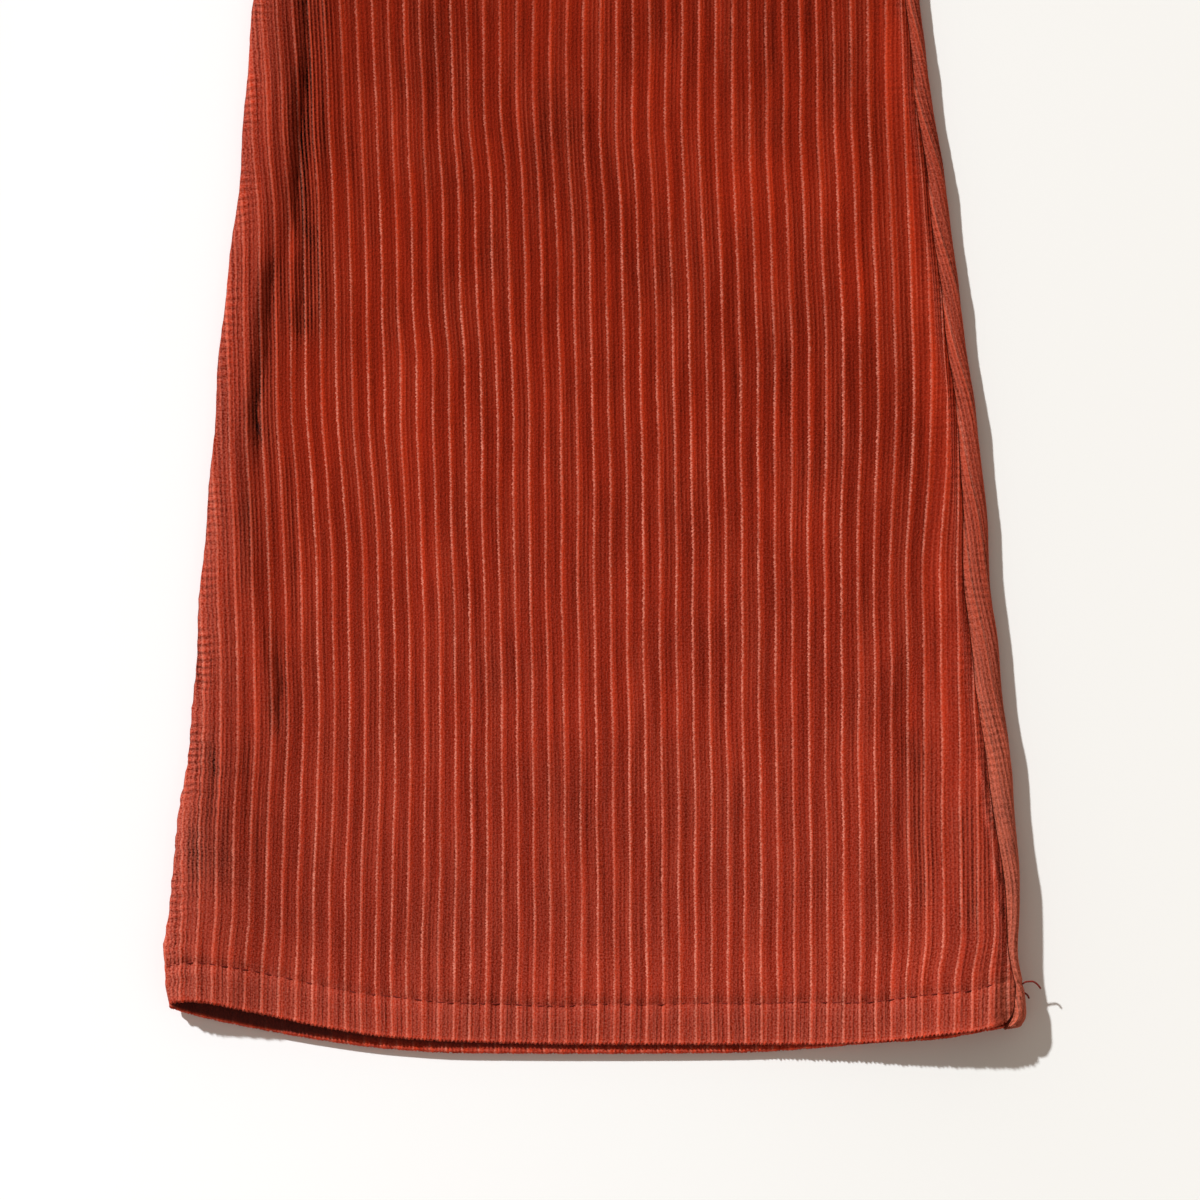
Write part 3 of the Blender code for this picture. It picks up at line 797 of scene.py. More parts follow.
def clothFacts(across, levels, low, high, layer):
    # what the finish needs at each point: how light the cloth is, painted shade and highlights included,
    # how pale the pile is, from wear and from painted highlights, how far the cloth is drawn together, and
    # how near a puckered seam is
    tone = 0.06 * np.sin(levels / 47 + across / 31) + 0.05 * np.sin(levels / 19 - across / 23 + 2)
    for spot, level, width, length, amount in tonePatches:
        tone = tone + amount * bell((across - spot) / width) * bell((levels - level) / length)
    _, drawn, creaseShade = creaseDepth(across, levels)
    # painted shade for the grooves between the fine ribs where the cloth is drawn into a crease
    deep = np.clip(drawn, 0, 1) * (0.5 + 0.5 * (1 - ease((levels - 350) / 30)))
    # the crease cores painted darker, as painted shade
    tone = tone - (0.20 + 0.40 * (1 - ease((levels - 350) / 30))) * np.clip(creaseShade, 0, 1)
    tone = tone - 0.16 * ease((levels - 230) / 110)
    tone = tone - 0.10 * ease((levels - 240) / 80) * ease((across + 70) / 30)
    ridge, groove = tuckAt(across, levels)
    # on the front the tucks' ridges are painted lighter and their grooves darker, as painted light and shade
    if layer == "front":
        tone = tone + 0.8 * ridge - 0.6 * groove
    fromInseam = np.maximum(0, across - low) + 200 * (levels > cut["crotch"])
    fromSide = np.maximum(0, high - across)
    overRow = ease((levels - stitchLevel(across) + 2.5) / 7.0)
    # paler near the inseam: partly wear, partly painted light on the rolled edge's slope that faces the lamp
    bloom = 0.44 * bell(fromInseam / 14) + 0.28 * bell(fromInseam / 5)
    bloom = bloom + 0.36 * (1 - ease((levels + 40) / 300))
    # the hem's folded edge painted lighter and paler: a painted highlight for the light its splayed pile
    # catches
    paintedRimLight = 1 - ease((levels - 0.5) / 1.3)
    bloom = bloom + 0.30 * (1 - overRow) + 0.7 * paintedRimLight
    tone = tone + 0.17 * (1 - overRow) * ease((across + 116) / 30) + 0.9 * paintedRimLight - 0.12 * bell(fromInseam / 9)
    # more painted highlight on the very edge, and painted shade where the cloth dives into the inseam
    tone = tone + 0.8 * (1 - ease(levels / 0.8)) - 0.5 * bell(fromInseam / 1.0)
    tone = tone + 0.40 * (1 - overRow) * bell((across + 62) / 22)
    # painted shade where the cloth dives into the side seam
    tone = tone - 0.55 * bell(fromSide / 0.6)
    # paler just beside the side seam, and a painted highlight on the tucks' ridges
    bloom = bloom + 0.30 * bell((fromSide - 2.0) / 1.0) * (levels < 700) + 0.35 * ridge
    drawn = drawn + 0.95 * bell(fromInseam / 15) + 0.6 * np.exp(-fromSide / 8) + 0.5 * (1 - overRow)
    tan = 0.35 * (1 - overRow) * bell((across - 134) / 5)
    pucker = bell(fromInseam / 5.5) * (0.7 + 0.4 * bell((levels - 112) / 30)) + 0.30 * np.exp(-fromSide / 5)
    facts = {"tone": tone, "bloom": bloom, "drawn": drawn, "pucker": pucker, "deep": deep, "tan": tan}
    if layer == "back":
        wearStrip(facts, across, levels, high)
    for key in ("bloom", "drawn", "pucker"):
        facts[key] = np.clip(facts[key], 0, 1)
    return facts


def wearStrip(facts, across, levels, high):
    # the strip of the back that wraps onto the front is worn to tan, more so below, with painted light and
    # shade laid on it
    fromSide = np.maximum(0, high - across)
    strip = ease((across - (high - 13)) / 3)
    creased = np.sin(levels / 2.6 + 2 * np.sin(levels / 8.3)) * bell((fromSide - 2.5) / 2.5)
    lower = 1 - ease((levels - 60) / 120)
    blots = bell((levels - 61) / 3) + 0.7 * bell((levels - 72) / 5) + 0.6 * bell((levels - 46) / 6)
    # lighter, more so below, with bands of painted light and shade where the strip creases
    tone = facts["tone"] * (1 - strip) + strip * (0.30 + 0.26 * lower + (0.10 + 0.12 * lower) * creased)
    # painted shade in the side seam, and dark blots at a few levels
    tone = tone - 0.6 * strip * bell(fromSide / 0.6) - 0.85 * strip * blots * bell((fromSide - 4) / 2.5)
    # painted shade along the hem's row of stitches, where the cloth dips
    facts["tone"] = tone - 0.45 * strip * bell((levels - stitchLevel(across)) / 0.8)
    facts["bloom"] = facts["bloom"] * 0.5 + (0.46 + 0.40 * lower) * strip
    facts["tan"] = strip * (0.20 + 0.40 * lower)
    for key, least in (("drawn", 0.85), ("pucker", 0.22), ("deep", 0.5)):
        facts[key] = np.maximum(facts[key], least * strip)


def sideShares(turn):
    # how far out and up the round side is at a turn, as shares of its two radii
    power = np.where(turn < 0, 1.0, 2 / cut["sideRound"])
    return np.maximum(0, np.cos(turn)) ** power, np.sign(turn) * np.abs(np.sin(turn)) ** power


def sideTurn(s, turn, inset=0.0):
    # the round side of a leg: lower half under its edge, upper half over it
    out, up = sideShares(turn)
    upper = s.outseamRoll - s.sideHeight
    height = s.sideHeight + np.where(turn < 0, s.sideHeight - inset, upper - inset) * up
    return s.outer - s.bend + (s.bend - inset) * out, height


def seamTurn(s):
    # where the side's seam lies round that side
    return np.arccos(((s.bend - s.wrap) / s.bend) ** (cut["sideRound"] / 2))


def backCurve(fabric, s):
    # the back lies flat, then bends up and over the side to the seam on the front: the turn at
    # each place along it, or with no fabric the length of the whole run
    turns = -math.pi / 2 + (seamTurn(s) + math.pi / 2) * np.linspace(0, 1, 41)[None, :]
    x, y = sideTurn(s, turns)
    lengths = np.hypot(np.diff(x, axis=1), np.diff(y, axis=1))
    run = s.outer - s.bend + np.concatenate([0 * lengths[:, :1], np.cumsum(lengths, axis=1)], axis=1)
    if fabric is None:
        return run[:, -1:]
    return np.array([np.interp(fabric[row], run[row], turns[row]) for row in range(len(fabric))])


def backWall(fabric, s):
    # the back's outer face, its normal in the row's plane, and its inner face
    turn = backCurve(fabric, s)
    lean = np.clip(1 - (fabric - s.inner) / cut["inseamBend"], 0, 1)
    rise = np.sqrt(1 - lean * lean)
    half = s.inseamRoll / 2
    bent = (lean > 0) & (s.level <= cut["crotch"])
    over = fabric > s.outer - s.bend
    sideAcross, sideHeight = sideTurn(s, turn)
    innerAcross, innerHeight = sideTurn(s, turn, s.underWall)
    outer = np.stack([
        np.where(over, sideAcross, fabric),
        np.where(over, sideHeight, np.where(bent, half * (1 - rise), 0)),
    ], axis=-1)
    inBend = s.inner + s.underWall + (cut["inseamBend"] - s.underWall) * (1 - lean)
    inner = np.stack([
        np.where(bent, inBend, np.where(over, innerAcross, fabric)),
        np.where(bent, half - (half - s.underWall) * rise, np.where(over, innerHeight, s.underWall)),
    ], axis=-1)
    out, up = sideShares(turn)
    power = np.where(turn < 0, 1.0, cut["sideRound"] - 1)
    upper = np.where(turn < 0, s.sideHeight, s.outseamRoll - s.sideHeight)
    normal = np.stack([
        np.where(over, out**power / s.bend, np.where(bent, -lean / cut["inseamBend"], 0)),
        np.where(over, np.sign(turn) * np.abs(up) ** power / upper, np.where(bent, -rise / half, -1)),
    ], axis=-1)
    return outer, normal / np.hypot(normal[..., :1], normal[..., 1:]), inner


def backPanel(hand, side):
    levels = rowLevels("back")
    s = sectionAt(levels)
    low = np.where(levels <= cut["crotch"], s.inner, acrossAt(0.0, levels, "back"))
    high = backCurve(None, s)
    straight = sectionAt(levels, waves=False)
    last = backCurve(None, straight)
    fabric = fabricColumns(low, last)
    across = fabric + (high - last) * ease((fabric - last + 45) / 30)
    outer, normal, inner = backWall(across, s)
    relief = waleRelief(fabric) * ease((fabric - low) / 1.2)
    relief = relief + sewnEdge(fabric - low) + sewnEdge(last - fabric)
    relief = relief - 0.4 * bell((levels - stitchLevel(across)) / 0.9)
    under = np.clip(-normal[..., 1], 0, 1) ** 2
    relief = relief - under * (wale["height"] + 0.15)
    outer = outer + normal * relief[..., None]
    outer, _ = joinedFaces(outer, inner, levels)
    outer[..., 1] = np.maximum(0, outer[..., 1])
    spots = insideSpots(low, high)
    bare, _, inside = backWall(spots, s)
    _, inside = joinedFaces(bare, inside, levels)
    return closedPanel("back", hand, side, outer, inside, (fabric, across), (spots, spots), levels, low, high)


# The band is cut along the wales, so they run round the waist
band = {
    "edgeSpots": [0.0, 0.1, 0.34, 0.7, 1.2],
    "plainEdge": 1.5,  # no rows for ribs nearer the edges than this
    "closeStart": 1.8,
    "closeStep": 2.4,  # columns over the lap and the fly
    "closeRun": 50.0,
    "wideStep": 6.0,
    "turns": 11,
    "stitchFromEdge": 2.4,
    "insideRows": 5,
}


def bandSpots():
    # rows over the band's depth, two to each fine rib and closer at both edges
    depth, margin = cut["bandDepth"], band["plainEdge"]
    rows = len(wale["profile"]) * math.ceil(depth / wale["pitch"]) + 2
    spots = [wale["origin"] + number * wale["step"] for number in range(rows)]
    spots = [spot for spot in spots if margin < spot < depth - margin]
    return np.array(sorted(band["edgeSpots"] + spots + [depth - spot for spot in band["edgeSpots"]]))


def bandFrontRun(start, high):
    # columns along the band, from its end at the front to the side
    closeEnd = start + band["closeRun"]
    close = np.arange(start + band["closeStart"], closeEnd, band["closeStep"])
    wide = np.linspace(closeEnd, high, round((high - start - band["closeRun"]) / band["wideStep"]))
    return np.concatenate([start + np.array(band["edgeSpots"]), close, wide])


def bandCourse(s, laps):
    # the band's outer face, from its end round the side to the centre back: how many columns lie in
    # front, then across and height
    levels = s.level
    startX = -cut["bandLap"] if laps else cut["seamGap"]
    start = acrossAt(startX, levels, "front")
    high = s.outer - s.wrap
    shares = (bandFrontRun(start[0, 0], high[0, 0]) - start[0, 0]) / (high[0, 0] - start[0, 0])
    front = start + (high - start) * shares
    height = topHeight(front, s, cut["bandRaise"] if laps else 0.0) + cut["bandProud"]
    turns = seamTurn(s) + (-math.pi / 2 - seamTurn(s)) * np.linspace(0, 1, band["turns"])[1:]
    grown = SimpleNamespace(**vars(s))
    grown.outseamRoll = s.outseamRoll + cut["bandProud"]
    grown.sideHeight = grown.outseamRoll / 2
    sideAcross, sideUp = sideTurn(grown, turns)
    end = acrossAt(cut["seamGap"] / 2, levels, "back")
    back = sideAcross[:, -1:] + (end - sideAcross[:, -1:]) * (1 - shares[::-1][1:])
    across = np.concatenate([front, sideAcross, back], axis=1)
    return front.shape[1], across, np.concatenate([height, sideUp, 0 * back], axis=1)


def waistbandHalf(hand, side, laps):
    spots = bandSpots()
    inside = np.linspace(cut["bandDepth"], 0, band["insideRows"])
    fromBottom = np.concatenate([spots, inside, spots[:1]])[:, None]
    onOutside = np.concatenate([0 * spots + 1, 0 * inside - 1, [1]])[:, None]
    levels = cut["waistSeam"] + cut["seamGap"] + fromBottom
    count, across, height = bandCourse(sectionAt(levels), laps)
    steps = np.hypot(np.diff(across), np.diff(height))
    along = np.concatenate([0 * across[:, :1], np.cumsum(steps, axis=1)], axis=1)
    runAcross, runUp = np.gradient(across, axis=1), np.gradient(height, axis=1)
    size = np.hypot(runAcross, runUp)
    normal = np.stack([-runUp / size, runAcross / size], axis=-1)
    wall = 2 * cut["cloth"]
    edge = np.minimum(np.minimum(fromBottom, cut["bandDepth"] - fromBottom), along)
    edge = np.minimum(edge, along[:, -1:] - along)
    full = foldShare(edge)
    relief = waleRelief(fromBottom) * ease(edge / 1.7) - 0.35 * bell((edge - band["stitchFromEdge"]) / 0.8)
    relief = relief + 0.35 * np.sin(along / 31 + fromBottom / 23) + 0.15 * np.sin(along / 12 - fromBottom / 9)
    under = np.clip(-normal[..., 1], 0, 1)
    relief = relief * (1 - under) + under * np.minimum(0, relief - wale["height"])
    depth = np.where(onOutside > 0, relief, -wall)
    depth = -wall / 2 + (depth + wall / 2) * full
    points = np.stack([across, height], axis=-1) + normal * depth[..., None]
    placed = np.concatenate([
        place(points[:, :count, 0], levels, points[:, :count, 1], "front"),
        place(points[:, count:, 0], levels, np.maximum(0, points[:, count:, 1]), "back"),
    ], axis=1)
    uv = np.stack([np.broadcast_to(fromBottom, along.shape), along], axis=-1)
    hidden = np.broadcast_to(np.where(onOutside < 0, 1.0, 0.0), along.shape)
    facts = {
        "tone": 0.10 * np.sin(along / 37 + 1) + 0.06 * np.sin(along / 13),
        "bloom": 0.12 + 0.25 * (1 - ease(edge / 2.4)),
        "drawn": 0.35 + 0 * along,
        "pucker": 0.4 * bell((edge - band["stitchFromEdge"]) / 2.5),
        "deep": 0 * along,
        "tan": 0 * along,
        "inside": hidden,
        "hidden": hidden,
    }
    return clothMesh(f"{hand}_waistband", side, False, placed, uv, facts)


def frontSpot(across, level, laps, hand, lift=0.0):
    # a point on the front's face, for what is sewn there
    level = np.asarray(level, float)
    s = sectionAt(level)
    low = np.where(level <= cut["crotch"], s.inner, acrossAt(0.0, level, "front"))
    low = low - 12 * (level > cut["flyFoot"])
    across, height, _, _ = frontWall(across, low, s.outer - s.wrap, s, laps, hand)
    return place(across, level, height + lift, "front")


def backSpot(fabric, level, lift=0.0):
    level = np.broadcast_to(np.asarray(level, float), fabric.shape)[:, None]
    outer, normal, _ = backWall(fabric[:, None], sectionAt(level))
    outer = outer + normal * lift
    return place(outer[..., 0], level, outer[..., 1], "back")[:, 0]


def bandSpot(x, fromBottom, laps, lift=0.0):
    level = cut["waistSeam"] + cut["seamGap"] + fromBottom + 0 * x
    across = acrossAt(x, level, "front")
    s = sectionAt(level)
    height = topHeight(across, s, cut["bandRaise"] if laps else 0.0) + cut["bandProud"]
    return place(across, level, height + lift, "front")


def sewRow(bm, path, side, seed):
    # short stitches one after another along a path, none quite like the last
    path = np.array(path, float)
    path[:, 0] *= side
    path[:, 1] -= cut["middle"]
    runs = np.concatenate([[0], np.cumsum(np.linalg.norm(np.diff(path, axis=0), axis=1))])
    pitch = stitching["length"] + stitching["space"]
    chance = np.random.default_rng(seed)
    for number in range(int(runs[-1] / pitch)):
        begin = number * pitch + chance.uniform(0, stitching["late"])
        finish = begin + stitching["length"] * chance.uniform(*stitching["uneven"])
        first, last = [
            Vector([np.interp(at, runs, path[:, axis]) for axis in range(3)]) for at in (begin, finish)
        ]
        run = last - first
        if run.length < stitching["least"]:
            continue
        turn = run.to_track_quat("X", "Z").to_matrix().to_4x4()
        sway = Matrix.Rotation(chance.uniform(-stitching["sway"], stitching["sway"]), 4, "Z")
        shape = Matrix.Diagonal((run.length / 2, stitching["radius"], stitching["radius"], 1.0))
        spot = Matrix.Translation((first + last) / 2 * mm)
        matrix = spot @ turn @ sway @ Matrix.Scale(mm, 4) @ shape
        around, rings = stitching["sides"]
        bmesh.ops.create_uvsphere(bm, u_segments=around, v_segments=rings, radius=1.0, matrix=matrix)


def smoothPiece(name, bm):
    mesh = bpy.data.meshes.new(name)
    smoothInto(mesh, bm)
    return added(name, mesh)


def hemStitches(hand, side, laps):
    # the hem's row over the front, under the back and over the strip that wraps
    bm = bmesh.new()
    lift, seed = stitching["lift"], stitching["seed"]
    s = sectionAt(np.array([stitching["hemLevel"]]))
    over = np.arange(s.inner[0] + stitching["frontStart"], s.outer[0] - s.wrap[0], 0.8)
    sewRow(bm, frontSpot(over, stitchLevel(over), laps, hand, lift["front"]), side, seed["front"])
    backEnd = s.outer[0] - s.bend[0] - stitching["backStop"]
    under = np.arange(s.inner[0] + stitching["backStart"], backEnd, 0.8)
    sewRow(bm, backSpot(under, stitchLevel(under), lift["back"]), side, seed["back"])
    seam = backCurve(None, sectionAt(np.array([[stitching["hemLevel"]]])))[0, 0]
    start, end = stitching["stripRow"]
    strip = np.arange(seam - start, seam - end, 0.5)
    sewRow(bm, backSpot(strip, stitchLevel(strip), lift["strip"]), side, seed["strip"])
    return smoothPiece(f"{hand}_hem_stitches", bm)


def flyStitches():
    # a row beside the fly that turns in to its foot, and one along the lap's edge
    bm = bmesh.new()
    foot, turn = cut["flyFoot"] + stitching["flyFootRise"], stitching["flyTurn"]
    top = cut["waistSeam"] - 1
    bend = np.linspace(0, math.pi / 2, 30)
    x = stitching["flyFromCentre"] * np.concatenate([np.sin(bend), np.ones(40)])
    level = np.concatenate([turn - (turn - foot) * np.cos(bend), np.linspace(turn, top, 41)[1:]])
    lapEnd, lapWidth = flyEdge[-1]
    lapLevel = np.linspace(lapEnd + 2, top, 60)
    rows = {"fly": (x, level), "lap": (-lapWidth + stitching["lapFromEdge"] + 0 * lapLevel, lapLevel)}
    for name, (x, level) in rows.items():
        path = frontSpot(acrossAt(x, level, "front"), level, True, "left", stitching["lift"]["fly"])
        sewRow(bm, path, 1, stitching["seed"][name])
    return smoothPiece("fly_stitches", bm)


def bandStitches(hand, side, laps):
    # a row along each edge of the band, and one across its lapped end
    bm = bmesh.new()
    edge, lift, seed = band["stitchFromEdge"], stitching["lift"]["band"], stitching["seed"]
    s = sectionAt(np.array([cut["waistSeam"]]))
    start = -cut["bandLap"] + edge if laps else edge
    x = np.arange(start, s.sideX[0] - stitching["bandFromSide"], 2.0)
    for rowSeed, fromBottom in zip(seed["band"], (edge, cut["bandDepth"] - edge)):
        sewRow(bm, bandSpot(x, fromBottom, laps, lift), side, rowSeed)
    if laps:
        rise = np.arange(edge, cut["bandDepth"] - edge, 1.0)
        sewRow(bm, bandSpot(start + 0 * rise, rise, laps, lift), side, seed["bandEnd"])
    return smoothPiece(f"{hand}_waistband_stitches", bm)


# Two thread ends left at the side of the left hem: across, level, height along each
threadEnds = {
    "radius": 0.29,
    "ends": [
        [(136.4, 12.6, 7.0), (138.2, 13.4, 7.4), (140.0, 14.1, 7.6), (141.8, 14.2, 7.5),
         (143.2, 13.5, 7.2), (144.2, 12.4, 6.8), (144.7, 11.7, 6.5)],
        [(137.6, 11.2, 6.0), (139.4, 10.4, 5.8), (140.5, 9.4, 5.4), (141.0, 8.4, 5.1)],
    ],
    "rings": 26,
    "tip": 0.45,  # how thick the very end is, as a share
}


def tube(bm, path, radius, sides=8):
    # a ring of points carried along a path, closed at both ends
    rings = []
    for number, spot in enumerate(path):
        ahead = path[min(number + 1, len(path) - 1)] - path[max(number - 1, 0)]
        turn = ahead.to_track_quat("Z", "Y").to_matrix().to_4x4()
        thick = threadEnds["tip"] if number in (0, len(path) - 1) else 1.0
        matrix = Matrix.Translation(spot) @ turn
        ring = bmesh.ops.create_circle(bm, segments=sides, radius=radius * thick, matrix=matrix)
        rings.append(ring["verts"])
    for pair in zip(rings, rings[1:]):
        edges = [e for ring in pair for v in ring for e in v.link_edges if e.other_vert(v) in ring]
        bmesh.ops.bridge_loops(bm, edges=list(set(edges)))
    for ring in (rings[0], rings[-1]):
        bmesh.ops.contextual_create(bm, geom=ring)


def threadTails():
    bm = bmesh.new()
    for end in threadEnds["ends"]:
        spots = np.linspace(0, len(end) - 1, threadEnds["rings"])
        table = [(number, *point) for number, point in enumerate(end)]
        points = place(*[curveThrough(table, column, spots) for column in (1, 2, 3)], "back")
        points[:, 1] -= cut["middle"]
        tube(bm, [Vector(point) * mm for point in points], threadEnds["radius"] * mm)
    bmesh.ops.recalc_face_normals(bm, faces=bm.faces)
    return smoothPiece("left_thread_ends", bm)


# The waist button: radius and height down its outer side
button = {
    "profile": [(0, 1.55), (3.6, 1.6), (5.3, 1.85), (6.3, 2.75), (7.3, 3.1), (8.1, 2.75), (8.5, 1.9),
                (8.35, 1.0), (7.6, 0.35), (6.3, 0.0), (0, 0)],
    "steps": 72,
    "hole": 1.0,
    "holesOut": 2.4,
    "thread": 0.42,
    "strand": 0.35,  # half the space between two strands
}


def waistButton(centre):
    # a disc spun round its outline, with four holes drilled
    bm = bmesh.new()
    corners = [bm.verts.new((radius * mm, 0, up * mm)) for radius, up in button["profile"]]
    edges = [bm.edges.new(pair) for pair in zip(corners, corners[1:])]
    bmesh.ops.spin(bm, geom=corners + edges, cent=(0, 0, 0), axis=(0, 0, 1), angle=2 * math.pi,
                   steps=button["steps"], use_merge=True)
    bmesh.ops.remove_doubles(bm, verts=bm.verts, dist=1e-6)
    bmesh.ops.recalc_face_normals(bm, faces=bm.faces)
    disc = smoothPiece("waist_button", bm)
    for number in range(4):
        angle = math.pi / 4 + number * math.pi / 2
        bm = bmesh.new()
        matrix = Matrix.Translation(Vector((math.cos(angle), math.sin(angle), 0)) * button["holesOut"] * mm)
        bmesh.ops.create_cone(bm, cap_ends=True, segments=20, radius1=button["hole"] * mm,
                              radius2=button["hole"] * mm, depth=12 * mm, matrix=matrix)
        cutter = smoothPiece("button_hole", bm)
        drill = disc.modifiers.new("hole", "BOOLEAN")
        drill.operation = "DIFFERENCE"
        drill.object = cutter
        bpy.context.view_layer.objects.active = disc
        bpy.ops.object.modifier_apply(modifier=drill.name)
        bpy.data.objects.remove(cutter)
    disc.data.transform(Matrix.Translation(centre))
    return disc


def buttonThread(centre):
    # two strands over the bar between each pair of holes
    bm = bmesh.new()
    for sideways in (-1, 1):
        y = sideways * button["holesOut"] * math.sin(math.pi / 4)
        x = button["holesOut"] * math.cos(math.pi / 4)
        for beside in (-button["strand"], button["strand"]):
            arc = [
                centre + Vector((x * t, y + beside, 1.75 + 0.45 * (1 - t * t) - 1.6 * abs(t) ** 8)) * mm
                for t in np.linspace(-1, 1, 15)
            ]
            tube(bm, arc, button["thread"] * mm)
    bmesh.ops.recalc_face_normals(bm, faces=bm.faces)
    return smoothPiece("button_thread", bm)


class Wire:
    # one output socket in a material; sums on it become Math nodes
    def __init__(self, tree, socket=None):
        self.tree = tree
        self.socket = socket

    def node(self, kind, settings=None, sockets=None, output=0):
        made = self.tree.nodes.new("ShaderNode" + kind)
        for key, value in (settings or {}).items():
            if key == "stops":
                fillRamp(made.color_ramp, value)
            else:
                setattr(made, key, value)
        for key, value in (sockets or {}).items():
            if isinstance(value, Wire):
                self.tree.links.new(value.socket, made.inputs[key])
            else:
                made.inputs[key].default_value = value
        return Wire(self.tree, made.outputs[output])

    def also(self, output):
        # another socket of the same node
        return Wire(self.tree, self.socket.node.outputs[output])

    def maths(self, operation, *terms):
        return self.node("Math", {"operation": operation}, dict(enumerate(terms)))

    def __add__(self, other):
        return self.maths("ADD", self, other)

    def __sub__(self, other):
        return self.maths("SUBTRACT", self, other)

    def __rsub__(self, other):
        return self.maths("SUBTRACT", other, self)

    def __mul__(self, other):
        return self.maths("MULTIPLY", self, other)

    def __truediv__(self, other):
        return self.maths("DIVIDE", self, other)

    def __pow__(self, other):
        return self.maths("POWER", self, other)

    __radd__ = __add__
    __rmul__ = __mul__

    def between(self, low, high):
        # 0 at low, 1 at high, soft at both
        return self.node("MapRange", {"interpolation_type": "SMOOTHSTEP"}, {0: self, 1: low, 2: high})

    def mixed(self, low, high):
        # self is the share of the second colour
        return self.node("Mix", {"data_type": "RGBA"}, {0: self, 6: low, 7: high}, 2)


def fillRamp(ramp, stops):
    while len(ramp.elements) < len(stops):
        ramp.elements.new(0.5)
    for element, (position, colour) in zip(ramp.elements, stops):
        element.position = position
        element.color = colour


def paint(red, green, blue):
    # a colour as seen on a screen, from 0 to 255, made linear
    shares = [value / 255 for value in (red, green, blue)]
    return tuple([s / 12.92 if s < 0.04045 else ((s + 0.055) / 1.055) ** 2.4 for s in shares] + [1.0])


def newMaterial(name):
    material = bpy.data.materials.new(name)
    material.use_nodes = True
    surface = material.node_tree.nodes["Principled BSDF"]
    return material, Wire(material.node_tree), surface


def plug(wire, surface, socket):
    wire.tree.links.new(wire.socket, surface.inputs[socket])


def cover(surface, colour, roughness, bump, plain):
    # a finish's colour, roughness and bump, and its plain settings
    plug(colour, surface, "Base Color")
    plug(roughness, surface, "Roughness")
    plug(bump, surface, "Normal")
    for socket, value in plain.items():
        surface.inputs[socket].default_value = value


# Colours along one repeat from before its bright line, with painted light on the steep face and painted shade
# beyond it, and the rest of the cloth's look
corduroyLook = {
    "lead": 0.5,  # how far before the steep face a repeat of these stops starts
    "stops": [
        (0.00, paint(130, 28, 10)),
        (0.08, paint(134, 32, 13)),
        (0.15, paint(147, 42, 22)),
        (0.24, paint(168, 50, 24)),
        (0.33, paint(163, 43, 17)),
        (0.43, paint(153, 38, 14)),
        (0.55, paint(128, 25, 8)),
        (0.68, paint(139, 35, 16)),
        (0.80, paint(128, 26, 9)),
        (0.92, paint(141, 37, 18)),
        (1.00, paint(130, 28, 10)),
    ],
    # the bright line: partly paler worn pile tips, partly a painted highlight
    "line": paint(208, 122, 102),
    "fibre": paint(192, 82, 56),
    # paler pile: wear, and painted highlight at the hem's edge and on the tucks
    "bloom": paint(198, 108, 90),
    "faded": paint(146, 80, 56),
    # the cloth's wrong side; also laid over the pile inside a hem as painted shade
    "inside": paint(80, 40, 38),
    "insideThread": paint(100, 46, 42),
    "light": 0.965,
    "shades": {"streak": 0.75, "broad": 0.45, "grain": 0.6, "fuzz": 0.5, "cloud": 0.25, "patch": 0.22},
    "plain": {
        "Sheen Weight": 0.03,
        "Sheen Roughness": 0.45,
        "Sheen Tint": paint(235, 150, 120),
        "Specular IOR Level": 0.02,
    },
}

# Noise in the pile: spots to a millimetre across and along, and how fine its detail is
pileNoise = {
    "wander": (0.05, 0.03, 2.0),
    "fuzz": (1.6, 1.8, 1.0),
    "ragged": (0.5, 1.7, 1.0),
    "beads": (0.6, 1.5, 1.0),
    "strong": (0.19, 0.05, 2.0),
    "streak": (0.8, 0.022, 3.0),
    "broad": (0.26, 0.03, 2.0),
    "grain": (1.9, 0.9, 3.0),
    "cloud": (0.045, 0.05, 2.0),
    "patch": (0.011, 0.009, 2.0),
    "threads": (0.10, 0.018, 2.0),
    "bend": (0.11, 0.05, 2.0),
    "gathered": (0.05, 0.045, 2.0),
}


def clothNoise(made, across, along, sizes):
    acrossScale, alongScale, detail = sizes
    vector = made.node("CombineXYZ", {}, {0: across * acrossScale, 1: along * alongScale})
    settings = {"noise_dimensions": "2D"}
    return made.node("TexNoise", settings, {"Vector": vector, "Scale": 1.0, "Detail": detail})


